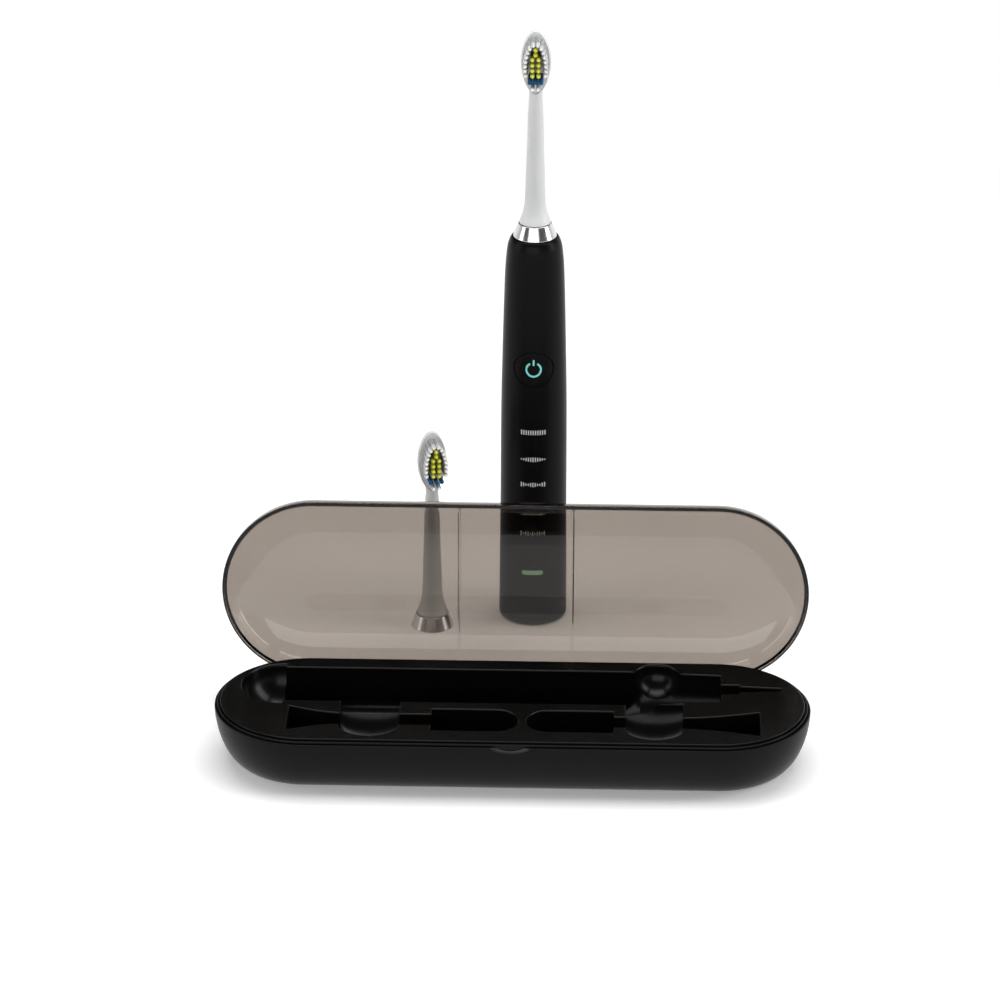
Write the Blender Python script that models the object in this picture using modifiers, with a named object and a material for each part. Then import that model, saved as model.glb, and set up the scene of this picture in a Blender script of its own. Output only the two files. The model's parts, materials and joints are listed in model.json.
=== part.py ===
"""Electric toothbrush with a spare brush head and an open travel case, as an assembly of separate pieces.

Frame: metres, +Z up, +Y to the rear. The origin is the centre of the travel case's underside, and +X runs
along the case. The toothbrush and the spare head stand upright behind the case, bristles facing -Y.
"""

import math

import bmesh
import bpy
from mathutils import Matrix, Vector

MM = 0.001
CLEAR = 0.3 * MM                       # gap between pieces that touch or run in each other
JOIN = 0.4 * MM                        # how far a moulded-on feature reaches into the wall that carries it
PAST = 2.0 * MM                        # how far a cutter runs past the face it opens

# Travel case: base shell, rim ring and tray
CASE_LENGTH = 232.3 * MM
CASE_WIDTH = 72.5 * MM
SEAM_HEIGHT = 22.3 * MM                # height of the base shell's top land
UNDER_INSET = 10.35 * MM               # how far the flat underside lies inside the seam outline
UNDER_POWER = 1.82                     # superellipse power of the base shell's rounded side
CASE_WALL = 2.0 * MM
LAND_WIDTH = 0.75 * MM
LEDGE_WIDTH = 3.0 * MM                 # reach of the ledge that carries the rim ring
LEDGE_HEIGHT = 2.0 * MM
LEDGE_DROP = 1.6 * MM                  # depth of the ledge under the shell's top land
RING_WIDTH = 0.9 * MM
RING_RISE = 1.04 * MM                  # how far the ring stands above the shell's top land
RING_FOOT_WIDTH = 3.1 * MM
RING_FOOT_HEIGHT = 1.0 * MM
TRAY_RISE = 1.84 * MM                  # how far the tray's face stands above the shell's top land
TRAY_WALL = 1.4 * MM
NOTCH_SIZE = (8.1 * MM, 1.3 * MM, 3.2 * MM)    # half width, depth and height of the thumb notch

# Recesses of the tray: the handle's along the rear, and two brush heads' tip to tip in front of it.
# Their places are measured inward from the centres of the outline's half turns, and from the tray's
# front and rear edges.
MAIN_FROM_LEFT = -10.6 * MM
MAIN_FROM_RIGHT = 35.4 * MM
MAIN_FROM_REAR = 22.0 * MM             # centre line
MAIN_FLOOR = 4.2 * MM
MAIN_CORNER = 5.5 * MM
STORED_AXIS = 19.0 * MM                # height of the stored handle's axis
NECK_START = (29.9 * MM, 0.1 * MM, 13.6 * MM)  # from the right, off the main centre line, half width
NECK_END = (-1.6 * MM, 0.5 * MM, 11.25 * MM)
NOSE_SLOT = (-8.9 * MM, 0.2 * MM, 3.8 * MM)
SHAFT_SLOT = (-25.1 * MM, 0.5 * MM, 1.1 * MM)
SHAFT_SLOT_START = 2.35 * MM           # half width of the shaft's slot where it leaves the nose's
BOWL_RADIUS = 16.2 * MM
DIP_PLACE = (23.5 * MM, 11.1 * MM, 1.74 * MM)  # from the right, from the rear edge, below the tray's face
DIP_RADIUS = 9.5 * MM
HEAD_FROM_FRONT = 17.5 * MM            # centre line
NECK_FLOOR = 12.2 * MM
NECK_CORNER = 3.0 * MM
FLARE_CORNER = 4.0 * MM
FLARE_POWER = 1.7                      # how hollow the flare's narrowing is
BRUSH_FLOOR = 6.0 * MM
BRUSH_CORNER = 2.0 * MM
SCOOP_FROM_FRONT = 3.6 * MM
SCOOP_DIVIDER = 1.1 * MM               # how far the scoops' rear stays in front of the main recess
SCOOP_RADIUS = 12.9 * MM
SLOT_OVERLAP = 1.5 * MM                # how far neighbouring slots run into each other
LEFT_FLARE = (-6.6 * MM, 9.65 * MM)    # wide end, from the left; its half width
LEFT_SCOOP = (13.4 * MM, 36.4 * MM)
LEFT_NECK_HALF = 4.25 * MM
LEFT_BRUSH = (48.9 * MM, 82.5 * MM, 8.75 * MM)     # square end, round end, half width
RIGHT_BRUSH = (40.4 * MM, 74.0 * MM, 8.6 * MM)
RIGHT_NECK_HALF = 4.15 * MM
RIGHT_SCOOP = (13.4 * MM, 35.7 * MM)
RIGHT_FLARE = (-16.1 * MM, 9.5 * MM)
CAP_SPAN = math.radians(84.0)          # arc over which a recess's round end is drawn in

# Lid and its hinge
LID_DEPTH = 15.5 * MM
LID_CROWN_INSET = 16.0 * MM            # how far the lid's flat crown lies inside its rim
LID_WALL = 1.8 * MM
LIP_WIDTH = 0.7 * MM                   # thin lip that passes outside the rim ring
LIP_HEIGHT = 1.15 * MM
LID_OPEN = math.radians(96.79)
RIB_OFFSET = 22.6 * MM
RIB_THICKNESS = 1.2 * MM
RIB_DEPTH = 2.0 * MM
HINGE_INSET = 3.0 * MM                 # hinge axis, inside the rear edge
HINGE_DROP = 4.27 * MM                 # hinge axis, below the seam
BARREL_RADIUS = 2.6 * MM
PIN_RADIUS = 0.9 * MM
KNUCKLE_START = 28.0 * MM
KNUCKLE_LENGTH = 10.0 * MM
LUG_LENGTH = 5.6 * MM
ARM_THICKNESS = 1.7 * MM

# Places of the standing pieces
BRUSH_PLACE = (5.4 * MM, 129.3 * MM)
SPARE_PLACE = (-36.0 * MM, 116.1 * MM)
SPARE_TURN = math.radians(12.0)

# Toothbrush handle
HANDLE_HEIGHT = 167.5 * MM
HANDLE_RADIUS = 14.0 * MM
SHOULDER_RADIUS = 9.5 * MM             # edge of the handle's flat top
HANDLE_TAPER = ((0.02, 1.0), (0.3, 0.974), (0.56, 0.958), (0.72, 0.92), (0.83, 0.887), (0.907, 0.858),
                (0.945, 0.83), (0.977, 0.785), (0.992, 0.73))    # share of height, share of radius
BASE_ROUND = 1.6 * MM
HANDLE_WALL = 1.9 * MM
CAP_HEIGHT = 2.85 * MM
SPIGOT_HEIGHT = 6.5 * MM
SPIGOT_WALL = 2.0 * MM
SEAL_SECTION = 1.2 * MM
COIL_RING_WIDTH = 2.6 * MM
COIL_HEIGHT = 5.0 * MM

CHASSIS_RADIUS = 10.2 * MM
CHASSIS_WALL = 2.2 * MM
CHASSIS_BOTTOM = 9.8 * MM
CHASSIS_FRONT = -4.7 * MM              # plane where the half-round chassis is open for the circuit board
BULKHEAD = 1.5 * MM
BATTERY_RADIUS = 5.25 * MM
BATTERY_LENGTH = 44.0 * MM
BATTERY_BOTTOM = 23.0 * MM
CONTACT_THICKNESS = 0.9 * MM
CONTACT_RADIUS = 4.0 * MM
BOARD_THICKNESS = 1.0 * MM
BOARD_HALF_WIDTH = 6.8 * MM
BOARD_BOTTOM = 14.0 * MM
LED_SIZE = (1.6 * MM, 0.8 * MM, 1.2 * MM)
SWITCH_SIZE = (6.0 * MM, 1.4 * MM, 6.0 * MM)
SWITCH_NUB = 0.5 * MM
BAR_RADIUS = 0.8 * MM
BAR_LENGTH = 26.0 * MM

BUTTON_DROP = 53.5 * MM                # centre of the button below the handle's top
BUTTON_HALF_WIDTH = 7.5 * MM
BUTTON_HALF_HEIGHT = 7.1 * MM
BUTTON_TRAVEL = 0.5 * MM
BUTTON_LIP = 1.0 * MM
BUTTON_LIP_THICKNESS = 0.8 * MM
PLUNGER_RADIUS = 1.5 * MM
ICON_RADIUS = 2.95 * MM
ICON_LINE = 0.7 * MM
ICON_GAP = math.radians(62.0)          # opening at the top of the icon's ring
ICON_DEPTH = 0.8 * MM
ICON_BAR = (1.8 * MM, 4.2 * MM)        # lower and upper end of the icon's bar
CHARGE_HEIGHT = 23.4 * MM
MODE_RISES = (63.1 * MM, 51.1 * MM, 39.8 * MM, 28.4 * MM, 17.1 * MM)   # above the charge light
MODE_LENS = (5.3 * MM, 1.3 * MM)       # half length, half height
CHARGE_LENS = (4.3 * MM, 0.9 * MM)

# Drive: shaft, bearings and motor
SHAFT_RADIUS = 1.9 * MM
SHAFT_TIP = 23.0 * MM                  # how far the shaft stands above the handle's top
MOTOR_CLEAR = 1.2 * MM                 # between the button's lip and the motor
MOTOR_DROP = 13.7 * MM                 # top of the motor below the handle's top
PLATE_THICKNESS = 3.0 * MM
BEARING_RADIUS = 4.5 * MM
YOKE_WALL = 1.6 * MM
WINDING_WALL = 1.6 * MM
MAGNET_WALL = 1.5 * MM
CORE_WALL = 1.4 * MM
NOSE_RADIUS = 4.0 * MM
NOSE_RISE = 7.0 * MM                   # height of the nose above the handle's top
NOSE_FLANGE = (7.6 * MM, 3.0 * MM)     # radius, thickness
NOSE_LIP = 1.2 * MM
SEAL_WALL = 0.6 * MM

# Brush head, measured from the bottom of its ring
HEAD_LENGTH = 86.7 * MM
RING_RADIUS = 8.9 * MM                 # bottom edge of the head's ring
RING_HEIGHT = 5.5 * MM
RING_TOP_RADIUS = 6.7 * MM
RING_WALL = 1.0 * MM
STEM_RADII = ((0.071, 6.4), (0.106, 5.2), (0.146, 4.45), (0.187, 4.12), (0.268, 3.9), (0.348, 3.69),
              (0.464, 3.36), (0.579, 3.13), (0.637, 2.88), (0.683, 2.62))    # share of length, radius in mm
OVAL_UP = 13.0 * MM                    # the brush plate's reach above and below its widest place
OVAL_HALF_WIDTH = 6.0 * MM
OVAL_DOWN = 13.6 * MM
OVAL_POWER = 1.85
PLATE_HALF_DEPTH = 2.1 * MM
SOCKET_WALL = 0.8 * MM
RECESS_DEPTH = 1.2 * MM
RECESS_MARGIN = 0.6 * MM               # rim left around the bristle recess
BRISTLE_LENGTH = 9.7 * MM
STRAND_RADIUS = 0.24 * MM
TUFT_RADIUS = 0.56 * MM                # circle on which a tuft's outer strands stand
TUFT_RING = 4                          # strands around each tuft's middle one
TUFT_FLARE = 1.1                       # tips spread this much wider than the roots
YELLOW_TUFTS = tuple((x * MM, z * MM) for x, z in (
    (0.0, 7.9), (0.0, 5.95), (-1.15, 4.1), (1.15, 4.1), (-1.15, 1.9), (1.15, 1.9),
    (-1.15, -0.2), (1.15, -0.2), (-1.15, -2.3), (1.15, -2.3)))
BLUE_TUFTS = tuple((x * MM, -4.9 * MM) for x in (-2.2, 0.0, 2.2))
WHITE_FOOT_TUFTS = ((-1.1 * MM, -7.5 * MM), (1.1 * MM, -7.5 * MM))
WHITE_RING = (3.95 * MM, 9.6 * MM, 0.35 * MM)  # half width, half height and centre of the white ring
WHITE_RING_COUNT = 16
WHITE_RING_FROM = math.radians(-15.0)

# Smoothness
ARC_STEPS = 5
TURN_STEPS = 24
HANDLE_STEPS = 28
FINE_TURN_STEPS = 14
PIN_STEPS = 10

# Sizes that follow from the ones above
HALF_WIDTH = CASE_WIDTH / 2
HALF_STRAIGHT = (CASE_LENGTH - CASE_WIDTH) / 2
LEDGE_TOP = SEAM_HEIGHT - LEDGE_DROP
RING_BOTTOM = LEDGE_TOP + CLEAR
RING_TOP = SEAM_HEIGHT + RING_RISE
RING_OUTER = HALF_WIDTH - LAND_WIDTH - CLEAR
RING_INNER = RING_OUTER - RING_WIDTH
TRAY_TOP = SEAM_HEIGHT + TRAY_RISE
TRAY_BOTTOM = RING_BOTTOM + RING_FOOT_HEIGHT + CLEAR
TRAY_RADIUS = RING_INNER - CLEAR
LID_BOTTOM = SEAM_HEIGHT + CLEAR
HINGE_Y = HALF_WIDTH - HINGE_INSET
HINGE_Z = SEAM_HEIGHT - HINGE_DROP
PIN_HOLE = PIN_RADIUS + CLEAR
ARM_OUTER = HALF_WIDTH - CLEAR / 2
ARM_INNER = ARM_OUTER - ARM_THICKNESS
MAIN_LEFT = -HALF_STRAIGHT + MAIN_FROM_LEFT
MAIN_Y = TRAY_RADIUS - MAIN_FROM_REAR
MAIN_HALF = HANDLE_RADIUS + CLEAR
HEAD_SLOT_Y = HEAD_FROM_FRONT - TRAY_RADIUS
SCOOP_FRONT = SCOOP_FROM_FRONT - TRAY_RADIUS
SCOOP_REAR = MAIN_Y - MAIN_HALF + SCOOP_DIVIDER
DIP_CENTRE = (HALF_STRAIGHT - DIP_PLACE[0], TRAY_RADIUS - DIP_PLACE[1], TRAY_TOP - DIP_PLACE[2])
BUTTON_HEIGHT = HANDLE_HEIGHT - BUTTON_DROP
MODE_HEIGHTS = tuple(CHARGE_HEIGHT + rise for rise in MODE_RISES)
MOTOR_BOTTOM = BUTTON_HEIGHT + BUTTON_HALF_HEIGHT + BUTTON_LIP + MOTOR_CLEAR
CHASSIS_TOP = MOTOR_BOTTOM - CLEAR
BUTTON_LIP_BOTTOM = HANDLE_WALL + CLEAR + BUTTON_LIP_THICKNESS     # below the handle's face
BOARD_FRONT = CHASSIS_FRONT - CLEAR - BOARD_THICKNESS
UPPER_PLATE = HANDLE_HEIGHT - MOTOR_DROP - PLATE_THICKNESS
OVAL_CENTRE = HEAD_LENGTH - OVAL_UP
HEAD_BORE = SHAFT_RADIUS + CLEAR
PLATE_FRONT = -PLATE_HALF_DEPTH

# Finishes: base colour, roughness, metallic
BLACK_SATIN = ((0.012, 0.012, 0.013), 0.38, 0.0)
BLACK_GLOSS = ((0.006, 0.006, 0.006), 0.22, 0.0)
SMOKE = ((0.26, 0.22, 0.19), 0.1, 0.0)
STEEL = ((0.6, 0.6, 0.6), 0.3, 1.0)
CHROME = ((0.8, 0.8, 0.8), 0.12, 1.0)
WHITE = ((0.85, 0.85, 0.84), 0.35, 0.0)
YELLOW = ((0.72, 0.74, 0.04), 0.5, 0.0)
BLUE = ((0.0, 0.1, 0.3), 0.5, 0.0)
TEAL = ((0.1, 0.75, 0.75), 0.4, 0.0)
GREEN = ((0.2, 0.6, 0.25), 0.4, 0.0)
GREY_LENS = ((0.6, 0.6, 0.6), 0.4, 0.0)
COPPER = ((0.7, 0.3, 0.15), 0.35, 1.0)
RUBBER = ((0.02, 0.02, 0.02), 0.8, 0.0)
BOARD_GREEN = ((0.01, 0.12, 0.05), 0.5, 0.0)
CELL_WRAP = ((0.1, 0.15, 0.4), 0.4, 0.0)
IRON = ((0.25, 0.25, 0.26), 0.5, 1.0)


# ---------------------------------------------------------------- scene and objects

def clear_scene():
    for item in list(bpy.data.objects):
        bpy.data.objects.remove(item, do_unlink=True)


def new_collection(name):
    collection = bpy.data.collections.new(name)
    bpy.context.scene.collection.children.link(collection)
    return collection


def place(name, location, rotation=(0.0, 0.0, 0.0)):
    """An empty on a joint's axis or at a standing place, which carries the pieces built about it."""
    empty = bpy.data.objects.new(name, None)
    empty.location = location
    empty.rotation_euler = rotation
    PARTS.objects.link(empty)
    return empty


def finish_material(name, finish):
    colour, roughness, metallic = finish
    material = bpy.data.materials.new(name + "_finish")
    material.use_nodes = True
    shader = material.node_tree.nodes["Principled BSDF"]
    shader.inputs["Base Color"].default_value = (*colour, 1.0)
    shader.inputs["Roughness"].default_value = roughness
    shader.inputs["Metallic"].default_value = metallic
    return material


def to_object(name, bm, parent, finish):
    """A part when it has a finish, else a cutter or a guide."""
    bmesh.ops.recalc_face_normals(bm, faces=bm.faces)
    mesh = bpy.data.meshes.new(name)
    bm.to_mesh(mesh)
    bm.free()
    mesh.shade_smooth()
    mesh.set_sharp_from_angle(angle=math.radians(35.0))
    item = bpy.data.objects.new(name, mesh)
    item.parent = parent
    if finish is None:
        item.hide_render = True
        item.display_type = "WIRE"
        CUTTERS.objects.link(item)
    else:
        mesh.materials.append(finish_material(name, finish))
        PARTS.objects.link(item)
    return item


def boolean(target, tool, operation):
    modifier = target.modifiers.new(operation.title() + "_" + tool.name, "BOOLEAN")
    modifier.operation = operation
    modifier.solver = "EXACT"
    modifier.object = tool


def cut(target, *tools):
    for tool in tools:
        boolean(target, tool, "DIFFERENCE")


def join(target, *tools):
    for tool in tools:
        boolean(target, tool, "UNION")


def keep_inside(target, tool):
    boolean(target, tool, "INTERSECT")


# ---------------------------------------------------------------- basic shapes

def add_box(bm, low, high):
    size = Vector(high) - Vector(low)
    middle = (Vector(high) + Vector(low)) / 2
    bmesh.ops.create_cube(bm, size=1.0, matrix=Matrix.Translation(middle) @ Matrix.Diagonal((*size, 1.0)))


def box(name, low, high, parent=None, finish=None):
    bm = bmesh.new()
    add_box(bm, low, high)
    return to_object(name, bm, parent, finish)


def boxes(name, corners, parent=None, finish=None):
    bm = bmesh.new()
    for low, high in corners:
        add_box(bm, low, high)
    return to_object(name, bm, parent, finish)


def add_rod(bm, start, end, radius, segments):
    """A cylinder from one point to another."""
    line = Vector(end) - Vector(start)
    middle = (Vector(end) + Vector(start)) / 2
    turn = Vector((0.0, 0.0, 1.0)).rotation_difference(line).to_matrix().to_4x4()
    bmesh.ops.create_cone(bm, cap_ends=True, segments=segments, radius1=radius, radius2=radius,
                          depth=line.length, matrix=Matrix.Translation(middle) @ turn)


def rods(name, lines, radius, segments=FINE_TURN_STEPS, parent=None, finish=None):
    bm = bmesh.new()
    for start, end in lines:
        add_rod(bm, start, end, radius, segments)
    return to_object(name, bm, parent, finish)


def add_prism(bm, outline, start, end, point):
    """A flat outline run from start to end; point(a, b, depth) gives a corner's place."""
    near = [bm.verts.new(point(a, b, start)) for a, b in outline]
    face = bm.faces.new(near)
    moved = bmesh.ops.extrude_face_region(bm, geom=[face])["geom"]
    shift = Vector(point(0.0, 0.0, end)) - Vector(point(0.0, 0.0, start))
    bmesh.ops.translate(bm, vec=shift, verts=[g for g in moved if isinstance(g, bmesh.types.BMVert)])


def along_x(a, b, depth):
    return (depth, a, b)


def along_y(a, b, depth):
    return (a, depth, b)


def prisms(name, outlines, start, end, point, parent=None, finish=None):
    bm = bmesh.new()
    for outline in outlines:
        add_prism(bm, outline, start, end, point)
    return to_object(name, bm, parent, finish)


def turned(name, profile, closed=True, steps=TURN_STEPS, parent=None, finish=None):
    """A profile of (radius, height) turned about Z; it runs down its outer side."""
    mesh = bpy.data.meshes.new(name)
    edges = [(i, i + 1) for i in range(len(profile) - 1)]
    if closed:
        edges.append((len(profile) - 1, 0))
    mesh.from_pydata([(r, 0.0, z) for r, z in profile], edges, [])
    bm = bmesh.new()
    bm.from_mesh(mesh)
    bpy.data.meshes.remove(mesh)
    item = to_object(name, bm, parent, finish)
    screw = item.modifiers.new("Turn", "SCREW")
    screw.axis = "Z"
    screw.steps = steps
    screw.render_steps = steps
    screw.use_merge_vertices = True
    screw.merge_threshold = 0.000001
    screw.use_smooth_shade = True
    return item


def tube(name, outer, inner, bottom, top, **kw):
    return turned(name, [(outer, top), (outer, bottom), (inner, bottom), (inner, top)], **kw)


def racetrack(name, profile, closed=False, parent=None, finish=None):
    """A profile of (radius, height) run round the case's outline: two straights and two half turns."""
    bm = bmesh.new()
    verts = [bm.verts.new((-HALF_STRAIGHT, -r, z)) for r, z in profile]
    edges = [bm.edges.new((verts[i], verts[i + 1])) for i in range(len(verts) - 1)]
    if closed:
        edges.append(bm.edges.new((verts[-1], verts[0])))
    for side in (1.0, -1.0):
        straight = bmesh.ops.extrude_edge_only(bm, edges=edges)["geom"]
        moved = [g for g in straight if isinstance(g, bmesh.types.BMVert)]
        bmesh.ops.translate(bm, vec=(side * 2 * HALF_STRAIGHT, 0.0, 0.0), verts=moved)
        ends = moved + [g for g in straight if isinstance(g, bmesh.types.BMEdge)]
        last = bmesh.ops.spin(bm, geom=ends, cent=(side * HALF_STRAIGHT, 0.0, 0.0), axis=(0.0, 0.0, 1.0),
                              angle=math.pi, steps=TURN_STEPS // 2)["geom_last"]
        edges = [g for g in last if isinstance(g, bmesh.types.BMEdge)]
    bmesh.ops.remove_doubles(bm, verts=bm.verts, dist=0.000005)
    return to_object(name, bm, parent, finish)


def loft(name, sections, parent=None, finish=None):
    """Closed sections of equal count joined one to the next, with both ends closed."""
    bm = bmesh.new()
    rings = [[bm.verts.new(p) for p in section] for section in sections]
    for ring, following in zip(rings, rings[1:]):
        for i in range(len(ring)):
            j = (i + 1) % len(ring)
            bm.faces.new((ring[i], ring[j], following[j], following[i]))
    bm.faces.new(rings[0])
    bm.faces.new(rings[-1])
    return to_object(name, bm, parent, finish)


def smooth_value(stations, at):
    """Value at one place on a smooth curve through (place, value) stations."""
    places = [s[0] for s in stations]
    values = [s[1] for s in stations]
    if at <= places[0]:
        return values[0]
    if at >= places[-1]:
        return values[-1]
    i = max(k for k in range(len(places) - 1) if places[k] <= at)

    def slope(k):
        low = max(k - 1, 0)
        high = min(k + 1, len(places) - 1)
        return (values[high] - values[low]) / (places[high] - places[low])

    width = places[i + 1] - places[i]
    t = (at - places[i]) / width
    return ((2 * t**3 - 3 * t**2 + 1) * values[i] + (t**3 - 2 * t**2 + t) * width * slope(i)
            + (3 * t**2 - 2 * t**3) * values[i + 1] + (t**3 - t**2) * width * slope(i + 1))


def pill(half_length, half_height, centre_height, grow=0.0):
    """Outline of a bar with round ends."""
    radius = half_height + grow
    reach = half_length - half_height
    points = []
    for side, first in ((1.0, -90.0), (-1.0, 90.0)):
        for k in range(ARC_STEPS + 1):
            angle = math.radians(first + 180.0 * k / ARC_STEPS)
            points.append((side * reach + radius * math.cos(angle), centre_height + radius * math.sin(angle)))
    return points


def ellipse(half_width, half_height, centre_height, count=24):
    angles = [2 * math.pi * k / count for k in range(count)]
    return [(half_width * math.cos(a), centre_height + half_height * math.sin(a)) for a in angles]


# ---------------------------------------------------------------- travel case

def shell_curve(power, reach, drop, bottom, first=0.0):
    """Rounded side from the underside's edge (90 degrees) up to the seam (0 degrees)."""
    points = []
    for k in range(ARC_STEPS + 3):
        angle = math.pi / 2 - (math.pi / 2 - first) * k / (ARC_STEPS + 2)
        across = max(math.cos(angle), 0.0) ** (2 / power)
        down = math.sin(angle) ** (2 / power)
        points.append((HALF_WIDTH - UNDER_INSET + reach * across, bottom + drop * (1 - down)))
    return points


def ball_scoop(name, grow=0.0, top=TRAY_TOP + PAST):
    """Round finger dip in the rear wall of the tray's neck trough."""
    radius = DIP_RADIUS + grow
    profile = [(0.0, top - DIP_CENTRE[2]), (radius, top - DIP_CENTRE[2])]
    for k in range(ARC_STEPS + 1):
        angle = math.pi / 2 * k / ARC_STEPS
        profile.append((radius * math.cos(angle), -radius * math.sin(angle)))
    profile[-1] = (0.0, -radius)
    item = turned(name, profile, closed=False, steps=FINE_TURN_STEPS)
    item.location = DIP_CENTRE
    return item


def u_section(x, y, half, floor, corner, top):
    """Trough section across X: straight sides, round bottom corners."""
    corner = min(corner, half * 0.98)
    points = [(x, y - half, top)]
    for side, first in ((-1.0, 180.0), (1.0, 270.0)):
        for k in range(4):
            angle = math.radians(first + 90.0 * k / 3)
            points.append((x, y + side * (half - corner) + corner * math.cos(angle),
                           floor + corner + corner * math.sin(angle)))
    points.append((x, y + half, top))
    return points


def trough(name, stations, grow=0.0, top=TRAY_TOP + PAST):
    """A pocket of the tray; grow makes the moulded wall round it."""
    sections = []
    for k, (x, y, half, floor, corner) in enumerate(stations):
        x += {0: -grow, len(stations) - 1: grow}.get(k, 0.0)
        sections.append(u_section(x, y, half + grow, floor - grow, corner + grow, top))
    return loft(name, sections)


def flare_stations(wide_x, wide, narrow_x, narrow):
    """Slot for a head's flared ring, which narrows to the neck in a hollow curve."""
    rows = []
    for k in range(5):
        share = k / 4
        half = narrow + (wide - narrow) * (1 - share) ** FLARE_POWER
        rows.append((wide_x + (narrow_x - wide_x) * share, HEAD_SLOT_Y, half, NECK_FLOOR, FLARE_CORNER))
    return sorted(rows)


def neck_stations(from_x, to_x, half):
    return [(x, HEAD_SLOT_Y, half, NECK_FLOOR, NECK_CORNER) for x in sorted((from_x, to_x))]


def brush_stations(square_x, round_x, half):
    """Slot for a brush, square at its neck and round at its tip."""
    way = 1.0 if round_x > square_x else -1.0
    rows = [(square_x, HEAD_SLOT_Y, half, BRUSH_FLOOR, BRUSH_CORNER)]
    for k in range(6):
        angle = CAP_SPAN * k / 5
        rows.append((round_x - way * half * (1 - math.sin(angle)), HEAD_SLOT_Y, half * math.cos(angle),
                     BRUSH_FLOOR, BRUSH_CORNER))
    return sorted(rows)


def scoop_stations(*ends):
    """Finger scoop across a head's neck: round in front, open to the main recess behind."""
    low_x, high_x = sorted(ends)
    middle = (low_x + high_x) / 2
    rows = []
    for k in range(7):
        x = low_x + (high_x - low_x) * k / 6
        front = SCOOP_FRONT + SCOOP_RADIUS - math.sqrt(SCOOP_RADIUS**2 - (x - middle) ** 2)
        half = (SCOOP_REAR - front) / 2
        rows.append((x, (SCOOP_REAR + front) / 2, half, TRAY_TOP - half, half))
    return rows


def bowl_stations():
    """Finger bowl at the left end of the main recess: half a ball."""
    rows = []
    for k in range(6):
        angle = CAP_SPAN * (1 - k / 5)
        half = BOWL_RADIUS * math.cos(angle)
        rows.append((MAIN_LEFT + JOIN - BOWL_RADIUS * math.sin(angle), MAIN_Y, half, TRAY_TOP - half, half))
    return rows


def round_station(from_right, offset, half, past=0.0):
    """Section of a slot with a half-round floor about the stored handle's axis."""
    return HALF_STRAIGHT - from_right - past, MAIN_Y + offset, half, STORED_AXIS - half, half


def handle_recesses():
    neck_x, neck_offset, _ = NECK_END
    nose_x, nose_offset, nose_half = NOSE_SLOT
    return {
        "main": [(MAIN_LEFT, MAIN_Y, MAIN_HALF, MAIN_FLOOR, MAIN_CORNER),
                 (HALF_STRAIGHT - MAIN_FROM_RIGHT, MAIN_Y, MAIN_HALF, MAIN_FLOOR, MAIN_CORNER),
                 round_station(*NECK_START), round_station(*NECK_END)],
        "nose": [round_station(neck_x, nose_offset, nose_half, JOIN), round_station(*NOSE_SLOT)],
        "shaft": [round_station(nose_x, neck_offset, SHAFT_SLOT_START, JOIN), round_station(*SHAFT_SLOT)],
        "bowl": bowl_stations()}


def head_recesses():
    """The flare, scoop, neck and brush slots of the two stored heads, each measured from its side."""
    recesses = {}
    for side, end, way, flare, scoop, neck_half, brush in (
            ("left_", -HALF_STRAIGHT, 1.0, LEFT_FLARE, LEFT_SCOOP, LEFT_NECK_HALF, LEFT_BRUSH),
            ("right_", HALF_STRAIGHT, -1.0, RIGHT_FLARE, RIGHT_SCOOP, RIGHT_NECK_HALF, RIGHT_BRUSH)):
        over = way * SLOT_OVERLAP
        scoop_start, scoop_end = (end + way * reach for reach in scoop)
        square, tip = (end + way * reach for reach in brush[:2])
        wide_end = end + way * flare[0]
        recesses[side + "flare"] = flare_stations(wide_end, flare[1], scoop_start + over, neck_half)
        recesses[side + "scoop"] = scoop_stations(scoop_start, scoop_end)
        recesses[side + "neck"] = neck_stations(scoop_end - over, square + over / 3, neck_half)
        recesses[side + "brush"] = brush_stations(square, tip, brush[2])
    return recesses


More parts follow.
